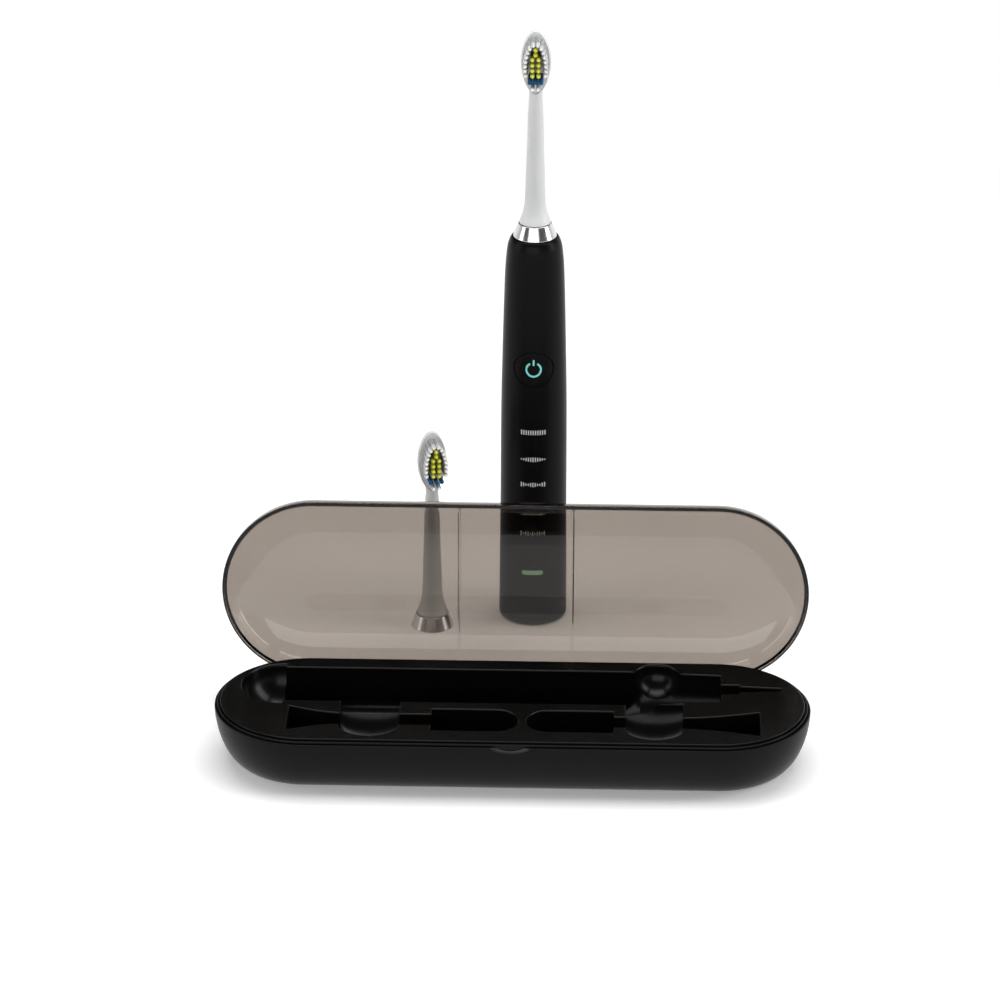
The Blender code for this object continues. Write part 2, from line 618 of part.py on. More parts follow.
def case_shell(sweep, pocket, reliefs):
    outer = shell_curve(UNDER_POWER, UNDER_INSET, SEAM_HEIGHT, 0.0)
    inner_drop = SEAM_HEIGHT - CASE_WALL
    ledge_foot = LEDGE_TOP - LEDGE_HEIGHT - LEDGE_WIDTH / 2
    first = math.asin(((SEAM_HEIGHT - ledge_foot) / inner_drop) ** (UNDER_POWER / 2))
    inner = shell_curve(UNDER_POWER, UNDER_INSET - CASE_WALL, inner_drop, CASE_WALL, first)
    profile = [(0.0, 0.0), *outer,
               (HALF_WIDTH - LAND_WIDTH, SEAM_HEIGHT), (HALF_WIDTH - LAND_WIDTH, LEDGE_TOP),
               (HALF_WIDTH - LEDGE_WIDTH, LEDGE_TOP), (HALF_WIDTH - LEDGE_WIDTH, LEDGE_TOP - LEDGE_HEIGHT),
               *reversed(inner), (0.0, CASE_WALL)]
    shell = racetrack("case_shell", profile, finish=BLACK_SATIN)
    lugs = []
    holes = []
    for side in (-1.0, 1.0):
        near = KNUCKLE_START - CLEAR
        far = KNUCKLE_START + KNUCKLE_LENGTH + CLEAR
        for start, end in ((near - LUG_LENGTH, near), (far, far + LUG_LENGTH)):
            lugs.append(((side * start, HINGE_Y, HINGE_Z), (side * end, HINGE_Y, HINGE_Z)))
        holes.append(((side * (near - LUG_LENGTH - CLEAR), HINGE_Y, HINGE_Z),
                      (side * (far + LUG_LENGTH + CLEAR), HINGE_Y, HINGE_Z)))
    cut(shell, sweep, pocket)
    join(shell, rods("lug_guide", lugs, BARREL_RADIUS))
    notch = bmesh.new()
    bmesh.ops.create_uvsphere(notch, u_segments=32, v_segments=16, radius=1.0,
                              matrix=Matrix.Diagonal((*NOTCH_SIZE, 1.0)))
    notch_cutter = to_object("notch_cutter", notch, None, None)
    notch_cutter.location = (0.0, -HALF_WIDTH, SEAM_HEIGHT)
    cut(shell, rods("pin_hole_cutter", holes, PIN_HOLE), notch_cutter, *reliefs)
    return shell


def case_cutters():
    """Room for the lid's rear edge as it swings, for its knuckles, and for the tray's dip and bowl."""
    arc = []
    for k in range(ARC_STEPS + 1):
        angle = math.radians(90.0 - 75.0 * k / ARC_STEPS)
        arc.append((HINGE_Y + HINGE_DROP * math.cos(angle), HINGE_Z + HINGE_DROP * math.sin(angle)))
    far = HINGE_Y + 3 * HINGE_DROP
    outline = [*arc, (far, arc[-1][1]), (far, SEAM_HEIGHT + PAST), (HINGE_Y, SEAM_HEIGHT + PAST)]
    reach = HALF_STRAIGHT + HALF_WIDTH / 2
    sweep = prisms("lid_sweep_cutter", [outline], -reach, reach, along_x)
    pockets = []
    notches = []
    for side in (-1.0, 1.0):
        ends = sorted((side * (KNUCKLE_START - CLEAR), side * (KNUCKLE_START + KNUCKLE_LENGTH + CLEAR)))
        corner = (ends[1], HALF_WIDTH + PAST, RING_TOP + PAST)
        pockets.append(((ends[0], HINGE_Y - BARREL_RADIUS - CLEAR, HINGE_Z - HINGE_DROP), corner))
        notches.append(((ends[0], ARM_INNER - CLEAR, RING_BOTTOM - PAST), corner))
    room = TRAY_WALL + CLEAR
    reliefs = [trough("bowl_relief_cutter", handle_recesses()["bowl"], room),
               trough("right_flare_relief_cutter", head_recesses()["right_flare"], room)]
    reliefs.append(ball_scoop("dip_relief_cutter", room))
    return sweep, boxes("knuckle_pocket_cutter", pockets), boxes("arm_notch_cutter", notches), reliefs


def case_rim_ring(arm_notch, reliefs):
    foot = RING_OUTER - RING_FOOT_WIDTH
    foot_top = RING_BOTTOM + RING_FOOT_HEIGHT
    profile = [(RING_OUTER, RING_TOP), (RING_OUTER, RING_BOTTOM), (foot, RING_BOTTOM), (foot, foot_top),
               (RING_INNER, foot_top), (RING_INNER, RING_TOP)]
    ring = racetrack("case_rim_ring", profile, closed=True, finish=BLACK_GLOSS)
    cut(ring, arm_notch, *reliefs)


def case_tray():
    profile = [(0.0, TRAY_TOP), (TRAY_RADIUS, TRAY_TOP), (TRAY_RADIUS, TRAY_BOTTOM), (0.0, TRAY_BOTTOM)]
    tray = racetrack("case_tray", profile, finish=BLACK_GLOSS)
    inside_plate = (TRAY_TOP + TRAY_BOTTOM) / 2
    recesses = handle_recesses() | head_recesses()
    for name, stations in recesses.items():
        join(tray, trough(name + "_wall_guide", stations, TRAY_WALL, inside_plate))
    join(tray, ball_scoop("dip_wall_guide", TRAY_WALL, inside_plate))
    for name, stations in recesses.items():
        cut(tray, trough(name + "_cutter", stations))
    cut(tray, ball_scoop("dip_cutter"))


def hinge_pins():
    inner_end = KNUCKLE_START - LUG_LENGTH
    outer_end = KNUCKLE_START + KNUCKLE_LENGTH + LUG_LENGTH
    for name, side in (("hinge_pin_left", -1.0), ("hinge_pin_right", 1.0)):
        line = ((side * inner_end, HINGE_Y, HINGE_Z), (side * outer_end, HINGE_Y, HINGE_Z))
        rods(name, [line], PIN_RADIUS, PIN_STEPS, finish=STEEL)


# ---------------------------------------------------------------- lid

def lid_point(angle, wall):
    """Point of the lid's dome, at a depth of wall under its outer face."""
    return (HALF_WIDTH - LID_CROWN_INSET + (LID_CROWN_INSET - wall) * math.cos(angle),
            LID_BOTTOM + (LID_DEPTH - wall) * math.sin(angle))


def lid_shell(hinge):
    """Built closed, about the hinge axis; the hinge empty opens it."""
    lip_top = LID_BOTTOM + LIP_HEIGHT
    first = math.asin(LIP_HEIGHT / (LID_DEPTH - LID_WALL))
    steps = ARC_STEPS + 2
    outer = [lid_point(math.pi / 2 * k / steps, 0.0) for k in range(steps + 1)]
    inner = [lid_point(first + (math.pi / 2 - first) * k / steps, LID_WALL) for k in range(steps + 1)]
    profile = [(0.0, outer[-1][1]), *reversed(outer), (HALF_WIDTH - LIP_WIDTH, LID_BOTTOM),
               (HALF_WIDTH - LIP_WIDTH, lip_top), *inner, (0.0, inner[-1][1])]
    lid = racetrack("lid_shell", profile, parent=hinge, finish=SMOKE)
    lid.location = (0.0, -HINGE_Y, -HINGE_Z)

    angles = [math.radians(20.0 + 140.0 * k / 14) for k in range(15)]
    crescent = []
    for angle in angles:
        r, z = lid_point(angle if angle < math.pi / 2 else math.pi - angle, LID_WALL - JOIN)
        crescent.append((math.copysign(r, math.cos(angle)), z))
    for angle in reversed(angles):
        r, z = lid_point(angle if angle < math.pi / 2 else math.pi - angle, LID_WALL + RIB_DEPTH)
        crescent.append((math.copysign(r, math.cos(angle)), z))
    ribs = bmesh.new()
    for side in (-1.0, 1.0):
        middle = side * RIB_OFFSET
        add_prism(ribs, crescent, middle - RIB_THICKNESS / 2, middle + RIB_THICKNESS / 2, along_x)
    arms = []
    barrels = []
    holes = []
    for side in (-1.0, 1.0):
        ends = sorted((side * KNUCKLE_START, side * (KNUCKLE_START + KNUCKLE_LENGTH)))
        arms.append(((ends[0], ARM_INNER, HINGE_Z), (ends[1], ARM_OUTER, lip_top + 2 * JOIN)))
        barrels.append(((ends[0], HINGE_Y, HINGE_Z), (ends[1], HINGE_Y, HINGE_Z)))
        holes.append(((ends[0] - PAST, HINGE_Y, HINGE_Z), (ends[1] + PAST, HINGE_Y, HINGE_Z)))
    guides = [to_object("rib_guide", ribs, hinge, None), boxes("hinge_arm_guide", arms, hinge),
              rods("knuckle_guide", barrels, BARREL_RADIUS, parent=hinge)]
    hole_cutter = rods("knuckle_hole_cutter", holes, PIN_HOLE, parent=hinge)
    for item in (*guides, hole_cutter):
        item.location = lid.location
    join(lid, *guides)
    cut(lid, hole_cutter)


# ---------------------------------------------------------------- toothbrush handle

def handle_radius(z):
    if z < BASE_ROUND:
        return HANDLE_RADIUS - BASE_ROUND + math.sqrt(BASE_ROUND**2 - (BASE_ROUND - z) ** 2)
    taper = HANDLE_TAPER + ((1.0, SHOULDER_RADIUS / HANDLE_RADIUS),)
    return HANDLE_RADIUS * smooth_value(taper, z / HANDLE_HEIGHT)


def handle_inner(z):
    return handle_radius(z) - HANDLE_WALL


def heights(bottom, top, count):
    return [bottom + (top - bottom) * k / count for k in range(count + 1)]


def handle_side(bottom, top, count):
    """Heights along the handle's side, closer together at the shoulder."""
    knee = HANDLE_HEIGHT * 0.9
    return heights(bottom, knee, count) + heights(knee, top, count)[1:]


def handle_band(name, bottom, top, outer_step, inner_step, place_at, finish=None):
    """Part of the handle's wall between two heights, its faces stepped in from the handle's own."""
    rows = heights(bottom, top, 3)
    outer = [(handle_radius(z) - outer_step, z) for z in reversed(rows)]
    inner = [(handle_radius(z) - inner_step, z) for z in rows]
    return turned(name, outer + inner, steps=HANDLE_STEPS, parent=place_at, finish=finish)


def front_prisms(name, outlines, place_at):
    return prisms(name, outlines, -HANDLE_RADIUS - PAST, -SHAFT_RADIUS, along_y, place_at)


def lens_outlines(grow=0.0):
    """Each indicator's name with its outline in the handle's front."""
    outlines = {"mode_lens_%d" % (k + 1): pill(*MODE_LENS, z, grow) for k, z in enumerate(MODE_HEIGHTS)}
    outlines["charge_indicator_lens"] = pill(*CHARGE_LENS, CHARGE_HEIGHT, grow)
    return outlines


def handle_shell(place_at):
    bottom = CAP_HEIGHT + CLEAR
    ceiling = HANDLE_HEIGHT - HANDLE_WALL
    outer = [(handle_radius(z), z) for z in reversed(handle_side(bottom, HANDLE_HEIGHT, 5))]
    inner = [(handle_inner(z), z) for z in handle_side(bottom, ceiling, 3)]
    bore = NOSE_RADIUS + CLEAR
    shell = turned("handle_shell", [(bore, HANDLE_HEIGHT), *outer, *inner, (bore, ceiling)],
                   steps=HANDLE_STEPS, parent=place_at, finish=BLACK_SATIN)
    openings = list(lens_outlines(CLEAR).values())
    button = ellipse(BUTTON_HALF_WIDTH + CLEAR, BUTTON_HALF_HEIGHT + CLEAR, BUTTON_HEIGHT)
    cut(shell, front_prisms("front_opening_cutter", [*openings, button], place_at))


def handle_lenses(place_at):
    for name, outline in lens_outlines().items():
        finish = GREEN if name == "charge_indicator_lens" else GREY_LENS
        levels = [z for _, z in outline]
        lens = handle_band(name, min(levels) - PAST, max(levels) + PAST, 0.0, HANDLE_WALL, place_at, finish)
        keep_inside(lens, front_prisms(name + "_guide", [outline], place_at))


def handle_base(place_at):
    """End cap with its spigot, its seal, and the pickup coil that the cap holds."""
    spigot = handle_inner(CAP_HEIGHT + SPIGOT_HEIGHT) - CLEAR
    top = CAP_HEIGHT + SPIGOT_HEIGHT
    groove = spigot - SEAL_SECTION
    seal_bottom = CAP_HEIGHT + (SPIGOT_HEIGHT - SEAL_SECTION) / 2
    seal_top = seal_bottom + SEAL_SECTION
    rounded = [(handle_radius(z), z) for z in heights(0.0, CAP_HEIGHT, 4)]
    floor = CAP_HEIGHT * 0.7
    cup = spigot - SPIGOT_WALL
    profile = [(cup, top), (spigot, top), (spigot, seal_top + CLEAR), (groove, seal_top + CLEAR),
               (groove, seal_bottom - CLEAR), (spigot, seal_bottom - CLEAR), (spigot, CAP_HEIGHT),
               *reversed(rounded), (0.0, 0.0)]
    turned("handle_end_cap", [(0.0, floor), (cup, floor), *profile], closed=False, parent=place_at,
           finish=BLACK_SATIN)
    tube("end_cap_seal", spigot, groove + CLEAR, seal_bottom, seal_top, parent=place_at, finish=RUBBER)
    coil_outer = cup - CLEAR
    coil_bottom = floor + CLEAR
    tube("charging_coil", coil_outer, coil_outer - COIL_RING_WIDTH, coil_bottom, coil_bottom + COIL_HEIGHT,
         parent=place_at, finish=COPPER)
    core = coil_outer - COIL_RING_WIDTH - CLEAR
    coil_top = coil_bottom + COIL_HEIGHT
    turned("coil_core", [(0.0, coil_top), (core, coil_top), (core, coil_bottom), (0.0, coil_bottom)],
           closed=False, parent=place_at, finish=IRON)


def chassis(place_at):
    """Half-round carrier with bulkheads round the battery and under the torsion bar, and that bar."""
    inner = CHASSIS_RADIUS - CHASSIS_WALL
    hole = BAR_RADIUS + CLEAR
    low_wall = BATTERY_BOTTOM - 2 * CLEAR - CONTACT_THICKNESS
    high_wall = BATTERY_BOTTOM + BATTERY_LENGTH + 2 * CLEAR + CONTACT_THICKNESS
    bar_wall = CHASSIS_TOP - BAR_LENGTH
    profile = [(CHASSIS_RADIUS, CHASSIS_TOP), (CHASSIS_RADIUS, CHASSIS_BOTTOM), (inner, CHASSIS_BOTTOM)]
    for bottom in (low_wall - BULKHEAD, high_wall, bar_wall):
        profile += [(inner, bottom), (hole, bottom), (hole, bottom + BULKHEAD), (inner, bottom + BULKHEAD)]
    carrier = turned("chassis", [*profile, (inner, CHASSIS_TOP)], parent=place_at, finish=GREY_LENS)
    lip_inner = handle_radius(BUTTON_HEIGHT) - BUTTON_LIP_BOTTOM
    lip_edge = -math.sqrt(lip_inner**2 - (BUTTON_HALF_WIDTH + BUTTON_LIP) ** 2)
    lip_room = BUTTON_HALF_HEIGHT + BUTTON_LIP + CLEAR
    cut(carrier, box("chassis_front_cutter", (-HANDLE_RADIUS, -HANDLE_RADIUS, 0.0),
                     (HANDLE_RADIUS, CHASSIS_FRONT, HANDLE_HEIGHT), place_at),
        box("button_room_cutter", (-HANDLE_RADIUS, -HANDLE_RADIUS, BUTTON_HEIGHT - lip_room),
            (HANDLE_RADIUS, lip_edge + BUTTON_TRAVEL + CLEAR, HANDLE_HEIGHT), place_at))
    rods("torsion_bar", [((0.0, 0.0, bar_wall), (0.0, 0.0, CHASSIS_TOP))], BAR_RADIUS, PIN_STEPS,
         place_at, STEEL)


def battery(place_at):
    back = CHASSIS_RADIUS - CHASSIS_WALL - CLEAR - BATTERY_RADIUS
    top = BATTERY_BOTTOM + BATTERY_LENGTH
    rods("battery_cell", [((0.0, back, BATTERY_BOTTOM), (0.0, back, top))], BATTERY_RADIUS,
         FINE_TURN_STEPS, place_at, CELL_WRAP)
    for name, level in (("battery_contact_lower", BATTERY_BOTTOM - CLEAR - CONTACT_THICKNESS),
                        ("battery_contact_upper", top + CLEAR)):
        plate = ((0.0, back, level), (0.0, back, level + CONTACT_THICKNESS))
        rods(name, [plate], CONTACT_RADIUS, FINE_TURN_STEPS, place_at, STEEL)


def electronics(place_at):
    box("circuit_board", (-BOARD_HALF_WIDTH, BOARD_FRONT, BOARD_BOTTOM),
        (BOARD_HALF_WIDTH, BOARD_FRONT + BOARD_THICKNESS, CHASSIS_TOP), place_at, BOARD_GREEN)
    seat = BOARD_FRONT - CLEAR
    leds = {"mode_led_%d" % (k + 1): z for k, z in enumerate(MODE_HEIGHTS)}
    leds["charge_led"] = CHARGE_HEIGHT
    for name, z in leds.items():
        box(name, (-LED_SIZE[0] / 2, seat - LED_SIZE[1], z - LED_SIZE[2] / 2),
            (LED_SIZE[0] / 2, seat, z + LED_SIZE[2] / 2), place_at, WHITE)
    wide, deep, high = SWITCH_SIZE
    switch = box("tact_switch", (-wide / 2, seat - deep, BUTTON_HEIGHT - high / 2),
                 (wide / 2, seat, BUTTON_HEIGHT + high / 2), place_at, IRON)
    nub = ((0.0, seat - deep - SWITCH_NUB, BUTTON_HEIGHT), (0.0, seat - JOIN, BUTTON_HEIGHT))
    join(switch, rods("switch_nub_guide", [nub], PLUNGER_RADIUS, PIN_STEPS, place_at))


def icon_outlines(grow=0.0):
    """Power symbol: a ring with a gap at the top, and a bar in the gap."""
    half = ICON_LINE / 2 + grow
    spare = grow / ICON_RADIUS
    first = math.pi / 2 + ICON_GAP / 2 - spare
    last = math.pi * 2.5 - ICON_GAP / 2 + spare
    angles = [first + (last - first) * k / 16 for k in range(17)]
    ring = [((ICON_RADIUS + half) * math.cos(a), BUTTON_HEIGHT + (ICON_RADIUS + half) * math.sin(a))
            for a in angles]
    ring += [((ICON_RADIUS - half) * math.cos(a), BUTTON_HEIGHT + (ICON_RADIUS - half) * math.sin(a))
             for a in reversed(angles)]
    low, high = (BUTTON_HEIGHT + ICON_BAR[0] - grow, BUTTON_HEIGHT + ICON_BAR[1] + grow)
    return {"power_icon_ring": ring,
            "power_icon_bar": [(-half, low), (half, low), (half, high), (-half, high)]}


def power_button(place_at):
    """Button cap in the handle's surface, with a retaining lip inside and a plunger over the switch."""
    reach = BUTTON_HALF_HEIGHT + BUTTON_LIP + PAST
    levels = (BUTTON_HEIGHT - reach, BUTTON_HEIGHT + reach)
    lip_top = BUTTON_LIP_BOTTOM - BUTTON_LIP_THICKNESS
    cap_back = BUTTON_LIP_BOTTOM - BUTTON_LIP_THICKNESS / 2
    cap = handle_band("power_button", *levels, 0.0, cap_back, place_at, BLACK_GLOSS)
    outline = ellipse(BUTTON_HALF_WIDTH, BUTTON_HALF_HEIGHT, BUTTON_HEIGHT)
    keep_inside(cap, front_prisms("button_guide", [outline], place_at))
    lip = handle_band("button_lip_guide", *levels, lip_top, BUTTON_LIP_BOTTOM, place_at)
    lip_outline = ellipse(BUTTON_HALF_WIDTH + BUTTON_LIP, BUTTON_HALF_HEIGHT + BUTTON_LIP, BUTTON_HEIGHT)
    keep_inside(lip, front_prisms("button_lip_outline_guide", [lip_outline], place_at))
    nub_front = BOARD_FRONT - CLEAR - SWITCH_SIZE[1] - SWITCH_NUB
    plunger = ((0.0, nub_front - CLEAR - BUTTON_TRAVEL, BUTTON_HEIGHT),
               (0.0, BUTTON_LIP_BOTTOM - JOIN - handle_radius(BUTTON_HEIGHT), BUTTON_HEIGHT))
    join(cap, lip, rods("plunger_guide", [plunger], PLUNGER_RADIUS, PIN_STEPS, place_at))
    groove = handle_band("icon_groove_cutter", *levels, -PAST, ICON_DEPTH + CLEAR, place_at)
    keep_inside(groove, front_prisms("icon_groove_guide", icon_outlines(CLEAR).values(), place_at))
    cut(cap, groove)
    for name, outline in icon_outlines().items():
        icon = handle_band(name, *levels, 0.0, ICON_DEPTH, place_at, TEAL)
        keep_inside(icon, front_prisms(name + "_guide", [outline], place_at))


def nose(place_at):
    """Nose that closes the handle round the shaft, and the rubber seal in it."""
    flange_radius, flange_thickness = NOSE_FLANGE
    flange_top = HANDLE_HEIGHT - HANDLE_WALL - CLEAR
    flange_bottom = flange_top - flange_thickness
    top = HANDLE_HEIGHT + NOSE_RISE
    seal_outer = HEAD_BORE + SEAL_WALL
    bore = seal_outer + CLEAR
    chamfer = NOSE_LIP / 2
    profile = [(HEAD_BORE, top), (NOSE_RADIUS - chamfer, top), (NOSE_RADIUS, top - chamfer),
               (NOSE_RADIUS, flange_top), (flange_radius, flange_top), (flange_radius, flange_bottom),
               (bore, flange_bottom), (bore, top - NOSE_LIP), (HEAD_BORE, top - NOSE_LIP)]
    turned("nose_collar", profile, parent=place_at, finish=BLACK_GLOSS)
    tube("nose_seal", seal_outer, HEAD_BORE, flange_bottom, top - NOSE_LIP - CLEAR, steps=FINE_TURN_STEPS,
         parent=place_at, finish=RUBBER)


def motor(place_at, drive):
    """Fixed yoke, windings, end plates and bearings, and the armature that swings with the shaft."""
    low_top = MOTOR_BOTTOM + PLATE_THICKNESS
    high_top = UPPER_PLATE + PLATE_THICKNESS
    bearing_seat = BEARING_RADIUS + CLEAR
    for end, bottom, top in (("rear", MOTOR_BOTTOM, low_top), ("front", UPPER_PLATE, high_top)):
        tube(end + "_end_plate", handle_inner(top) - CLEAR, bearing_seat, bottom, top, parent=place_at,
             finish=GREY_LENS)
        tube(end + "_bearing", BEARING_RADIUS, HEAD_BORE, bottom, top, steps=FINE_TURN_STEPS,
             parent=place_at, finish=STEEL)
    bottom = low_top + CLEAR
    top = UPPER_PLATE - CLEAR
    yoke = handle_inner(high_top) - 2 * CLEAR
    tube("motor_yoke", yoke, yoke - YOKE_WALL, bottom, top, parent=place_at, finish=IRON)
    winding = yoke - YOKE_WALL - CLEAR
    tube("motor_windings", winding, winding - WINDING_WALL, bottom + PAST, top - PAST, parent=place_at,
         finish=COPPER)
    core = HEAD_BORE + CORE_WALL
    tube("armature_core", core, HEAD_BORE, bottom, top, steps=FINE_TURN_STEPS, parent=drive, finish=IRON)
    magnet = core + CLEAR + MAGNET_WALL
    tube("armature_magnets", magnet, core + CLEAR, bottom + PAST, top - PAST, steps=FINE_TURN_STEPS,
         parent=drive, finish=STEEL)


def drive_shaft(drive):
    tip = HANDLE_HEIGHT + SHAFT_TIP
    chamfer = SHAFT_RADIUS / 4
    profile = [(0.0, tip), (SHAFT_RADIUS - chamfer, tip), (SHAFT_RADIUS, tip - chamfer),
               (SHAFT_RADIUS, MOTOR_BOTTOM), (0.0, MOTOR_BOTTOM)]
    turned("drive_shaft", profile, closed=False, steps=FINE_TURN_STEPS, parent=drive, finish=STEEL)


# ---------------------------------------------------------------- brush heads

def oval_half_width(z):
    up = z - OVAL_CENTRE
    share = min(abs(up) / (OVAL_UP if up > 0 else OVAL_DOWN), 1.0)
    return OVAL_HALF_WIDTH * (1 - share**OVAL_POWER) ** (1 / OVAL_POWER)


def oval_outline(inset, count=24):
    """The brush plate's outline, drawn in by inset, as (x, height)."""
    points = []
    for k in range(count):
        angle = 2 * math.pi * k / count
        across = math.copysign(abs(math.cos(angle)) ** (2 / OVAL_POWER), math.cos(angle))
        along = math.copysign(abs(math.sin(angle)) ** (2 / OVAL_POWER), math.sin(angle))
        reach = (OVAL_UP if along > 0 else OVAL_DOWN) - inset
        points.append(((OVAL_HALF_WIDTH - inset) * across, OVAL_CENTRE + reach * along))
    return points


def stem_radius(z):
    return MM * smooth_value(STEM_RADII, z / HEAD_LENGTH)


def brush_stem(name, place_at):
    """Hollow stem that widens into the brush plate: round below, flat and oval above."""
    neck = STEM_RADII[-1][0] * HEAD_LENGTH
    shoulder = RING_HEIGHT + CLEAR
    ring_gap = RING_WALL + CLEAR
    rows = [(0.0, RING_RADIUS - ring_gap), (RING_HEIGHT, RING_TOP_RADIUS - ring_gap),
            (shoulder, RING_TOP_RADIUS - ring_gap), (shoulder + CLEAR / 4, stem_radius(shoulder))]
    rows = [(z, r, r, 2.0) for z, r in rows]
    rows += [(z, stem_radius(z), stem_radius(z), 2.0) for z in heights(shoulder, neck, 8)[1:]]
    span = HEAD_LENGTH - neck
    for k in range(1, 10):
        z = neck + span * math.sin(math.radians(86.0) * k / 9)
        blend = min((z - neck) / (span * 0.25), 1.0)
        blend = blend * blend * (3 - 2 * blend)
        wide = max(oval_half_width(z), stem_radius(neck) if z < OVAL_CENTRE else 0.0)
        deep = stem_radius(neck) * (1 - blend) + PLATE_HALF_DEPTH * blend
        tip = max((z - OVAL_CENTRE) / OVAL_UP, 0.0)
        rows.append((z, wide, deep * math.sqrt(1 - 0.97 * tip**6), 2.0 + 0.8 * blend))
    sections = []
    for z, wide, deep, power in rows:
        section = []
        for k in range(16):
            angle = 2 * math.pi * k / 16
            x = math.copysign(abs(math.cos(angle)) ** (2 / power), math.cos(angle))
            y = math.copysign(abs(math.sin(angle)) ** (2 / power), math.sin(angle))
            section.append((wide * x, deep * y, z))
        sections.append(section)
    stem = loft(name, sections, place_at, WHITE)
    nose_bore = NOSE_RADIUS + CLEAR
    sleeve_bore = HEAD_BORE + SOCKET_WALL + CLEAR
    bore = [(0.0, SHAFT_TIP), (sleeve_bore, SHAFT_TIP), (sleeve_bore, NOSE_RISE), (nose_bore, NOSE_RISE),
            (nose_bore, -PAST), (0.0, -PAST)]
    cut(stem, turned(name + "_bore_cutter", bore, closed=False, steps=FINE_TURN_STEPS, parent=place_at))
    cut(stem, prisms(name + "_recess_cutter", [oval_outline(RECESS_MARGIN)], PLATE_FRONT - PAST,
                     PLATE_FRONT + RECESS_DEPTH, along_y, place_at))


def white_ring_tufts():
    """Tufts at even steps along the upper part of an oval, from one side over the top to the other."""
    half_width, half_height, centre = WHITE_RING
    span = math.pi - 2 * WHITE_RING_FROM
    fine = [WHITE_RING_FROM + span * k / 400 for k in range(401)]
    points = [(half_width * math.cos(a), centre + half_height * math.sin(a)) for a in fine]
    lengths = [0.0]
    for (x0, z0), (x1, z1) in zip(points, points[1:]):
        lengths.append(lengths[-1] + math.hypot(x1 - x0, z1 - z0))
    tufts = []
    for k in range(WHITE_RING_COUNT):
        want = lengths[-1] * k / (WHITE_RING_COUNT - 1)
        tufts.append(points[min(range(401), key=lambda i: abs(lengths[i] - want))])
    return tufts


def strands(name, tufts, place_at):
    """Every tuft's three-sided strands, rooted in the backing slice; tips spread a little."""
    bm = bmesh.new()
    root = PLATE_FRONT + JOIN
    tip = PLATE_FRONT - BRISTLE_LENGTH
    for x, z in tufts:
        spots = [(0.0, 0.0)]
        for k in range(TUFT_RING):
            angle = 2 * math.pi * k / TUFT_RING + math.pi / 2
            spots.append((TUFT_RADIUS * math.cos(angle), TUFT_RADIUS * math.sin(angle)))
        for dx, dz in spots:
            ends = []
            for level, spread in ((root, 1.0), (tip, TUFT_FLARE)):
                ends.append([bm.verts.new(((x + dx) * spread + STRAND_RADIUS * math.cos(a), level,
                                           OVAL_CENTRE + (z + dz) * spread + STRAND_RADIUS * math.sin(a)))
                             for a in (math.pi / 2, math.pi * 7 / 6, math.pi * 11 / 6)])
            low, high = ends
            bm.faces.new(low)
            bm.faces.new(high)
            for i in range(3):
                j = (i + 1) % 3
                bm.faces.new((low[i], low[j], high[j], high[i]))
    return to_object(name, bm, place_at, None)


def backing_outline(tufts, grow):
    """Box round some tufts, as (x, height) corners."""
    margin = TUFT_RADIUS + STRAND_RADIUS + grow
    low_x = min(x for x, _ in tufts) - margin
    high_x = max(x for x, _ in tufts) + margin
    low_z = OVAL_CENTRE + min(z for _, z in tufts) - margin
    high_z = OVAL_CENTRE + max(z for _, z in tufts) + margin
    return [(low_x, low_z), (high_x, low_z), (high_x, high_z), (low_x, high_z)]


def yellow_outline(grow):
    """Backing of the yellow tufts: wide under the pairs, narrow under the single ones."""
    pairs = backing_outline(YELLOW_TUFTS[2:], grow)
    single = backing_outline(YELLOW_TUFTS[:2], grow)
    return [pairs[0], pairs[1], pairs[2], (single[1][0], pairs[2][1]), single[2], single[3],
            (single[3][0], pairs[3][1]), pairs[3]]


def brush_tufts(prefix, place_at):
    back = PLATE_FRONT + RECESS_DEPTH - CLEAR
    white = WHITE_FOOT_TUFTS + tuple(white_ring_tufts())
    slices = (("yellow", YELLOW_TUFTS, yellow_outline(0.0), YELLOW),
              ("blue", BLUE_TUFTS, backing_outline(BLUE_TUFTS, 0.0), BLUE),
              ("white", white, oval_outline(RECESS_MARGIN + CLEAR), WHITE))
    for colour, tufts, outline, finish in slices:
        name = prefix + "_" + colour + "_tufts"
        backing = prisms(name, [outline], PLATE_FRONT, back, along_y, place_at, finish)
        if colour == "white":
            room = [yellow_outline(CLEAR), backing_outline(BLUE_TUFTS, CLEAR)]
            for k, hole in enumerate(room):
                cut(backing, prisms("%s_room_cutter_%d" % (name, k), [hole], PLATE_FRONT - PAST, back + PAST,
                                    along_y, place_at))
        join(backing, strands(name + "_strand_guide", tufts, place_at))


def brush_head(prefix, place_at):
    brush_stem(prefix + "_stem", place_at)
    tapered = [(RING_TOP_RADIUS, RING_HEIGHT), (RING_RADIUS, 0.0), (RING_RADIUS - RING_WALL, 0.0),
               (RING_TOP_RADIUS - RING_WALL, RING_HEIGHT)]
    turned(prefix + "_collar_ring", tapered, parent=place_at, finish=CHROME)
    tube(prefix + "_socket_sleeve", HEAD_BORE + SOCKET_WALL, HEAD_BORE, NOSE_RISE, SHAFT_TIP - CLEAR,
         steps=FINE_TURN_STEPS, parent=place_at, finish=STEEL)
    brush_tufts(prefix, place_at)


# ---------------------------------------------------------------- assembly

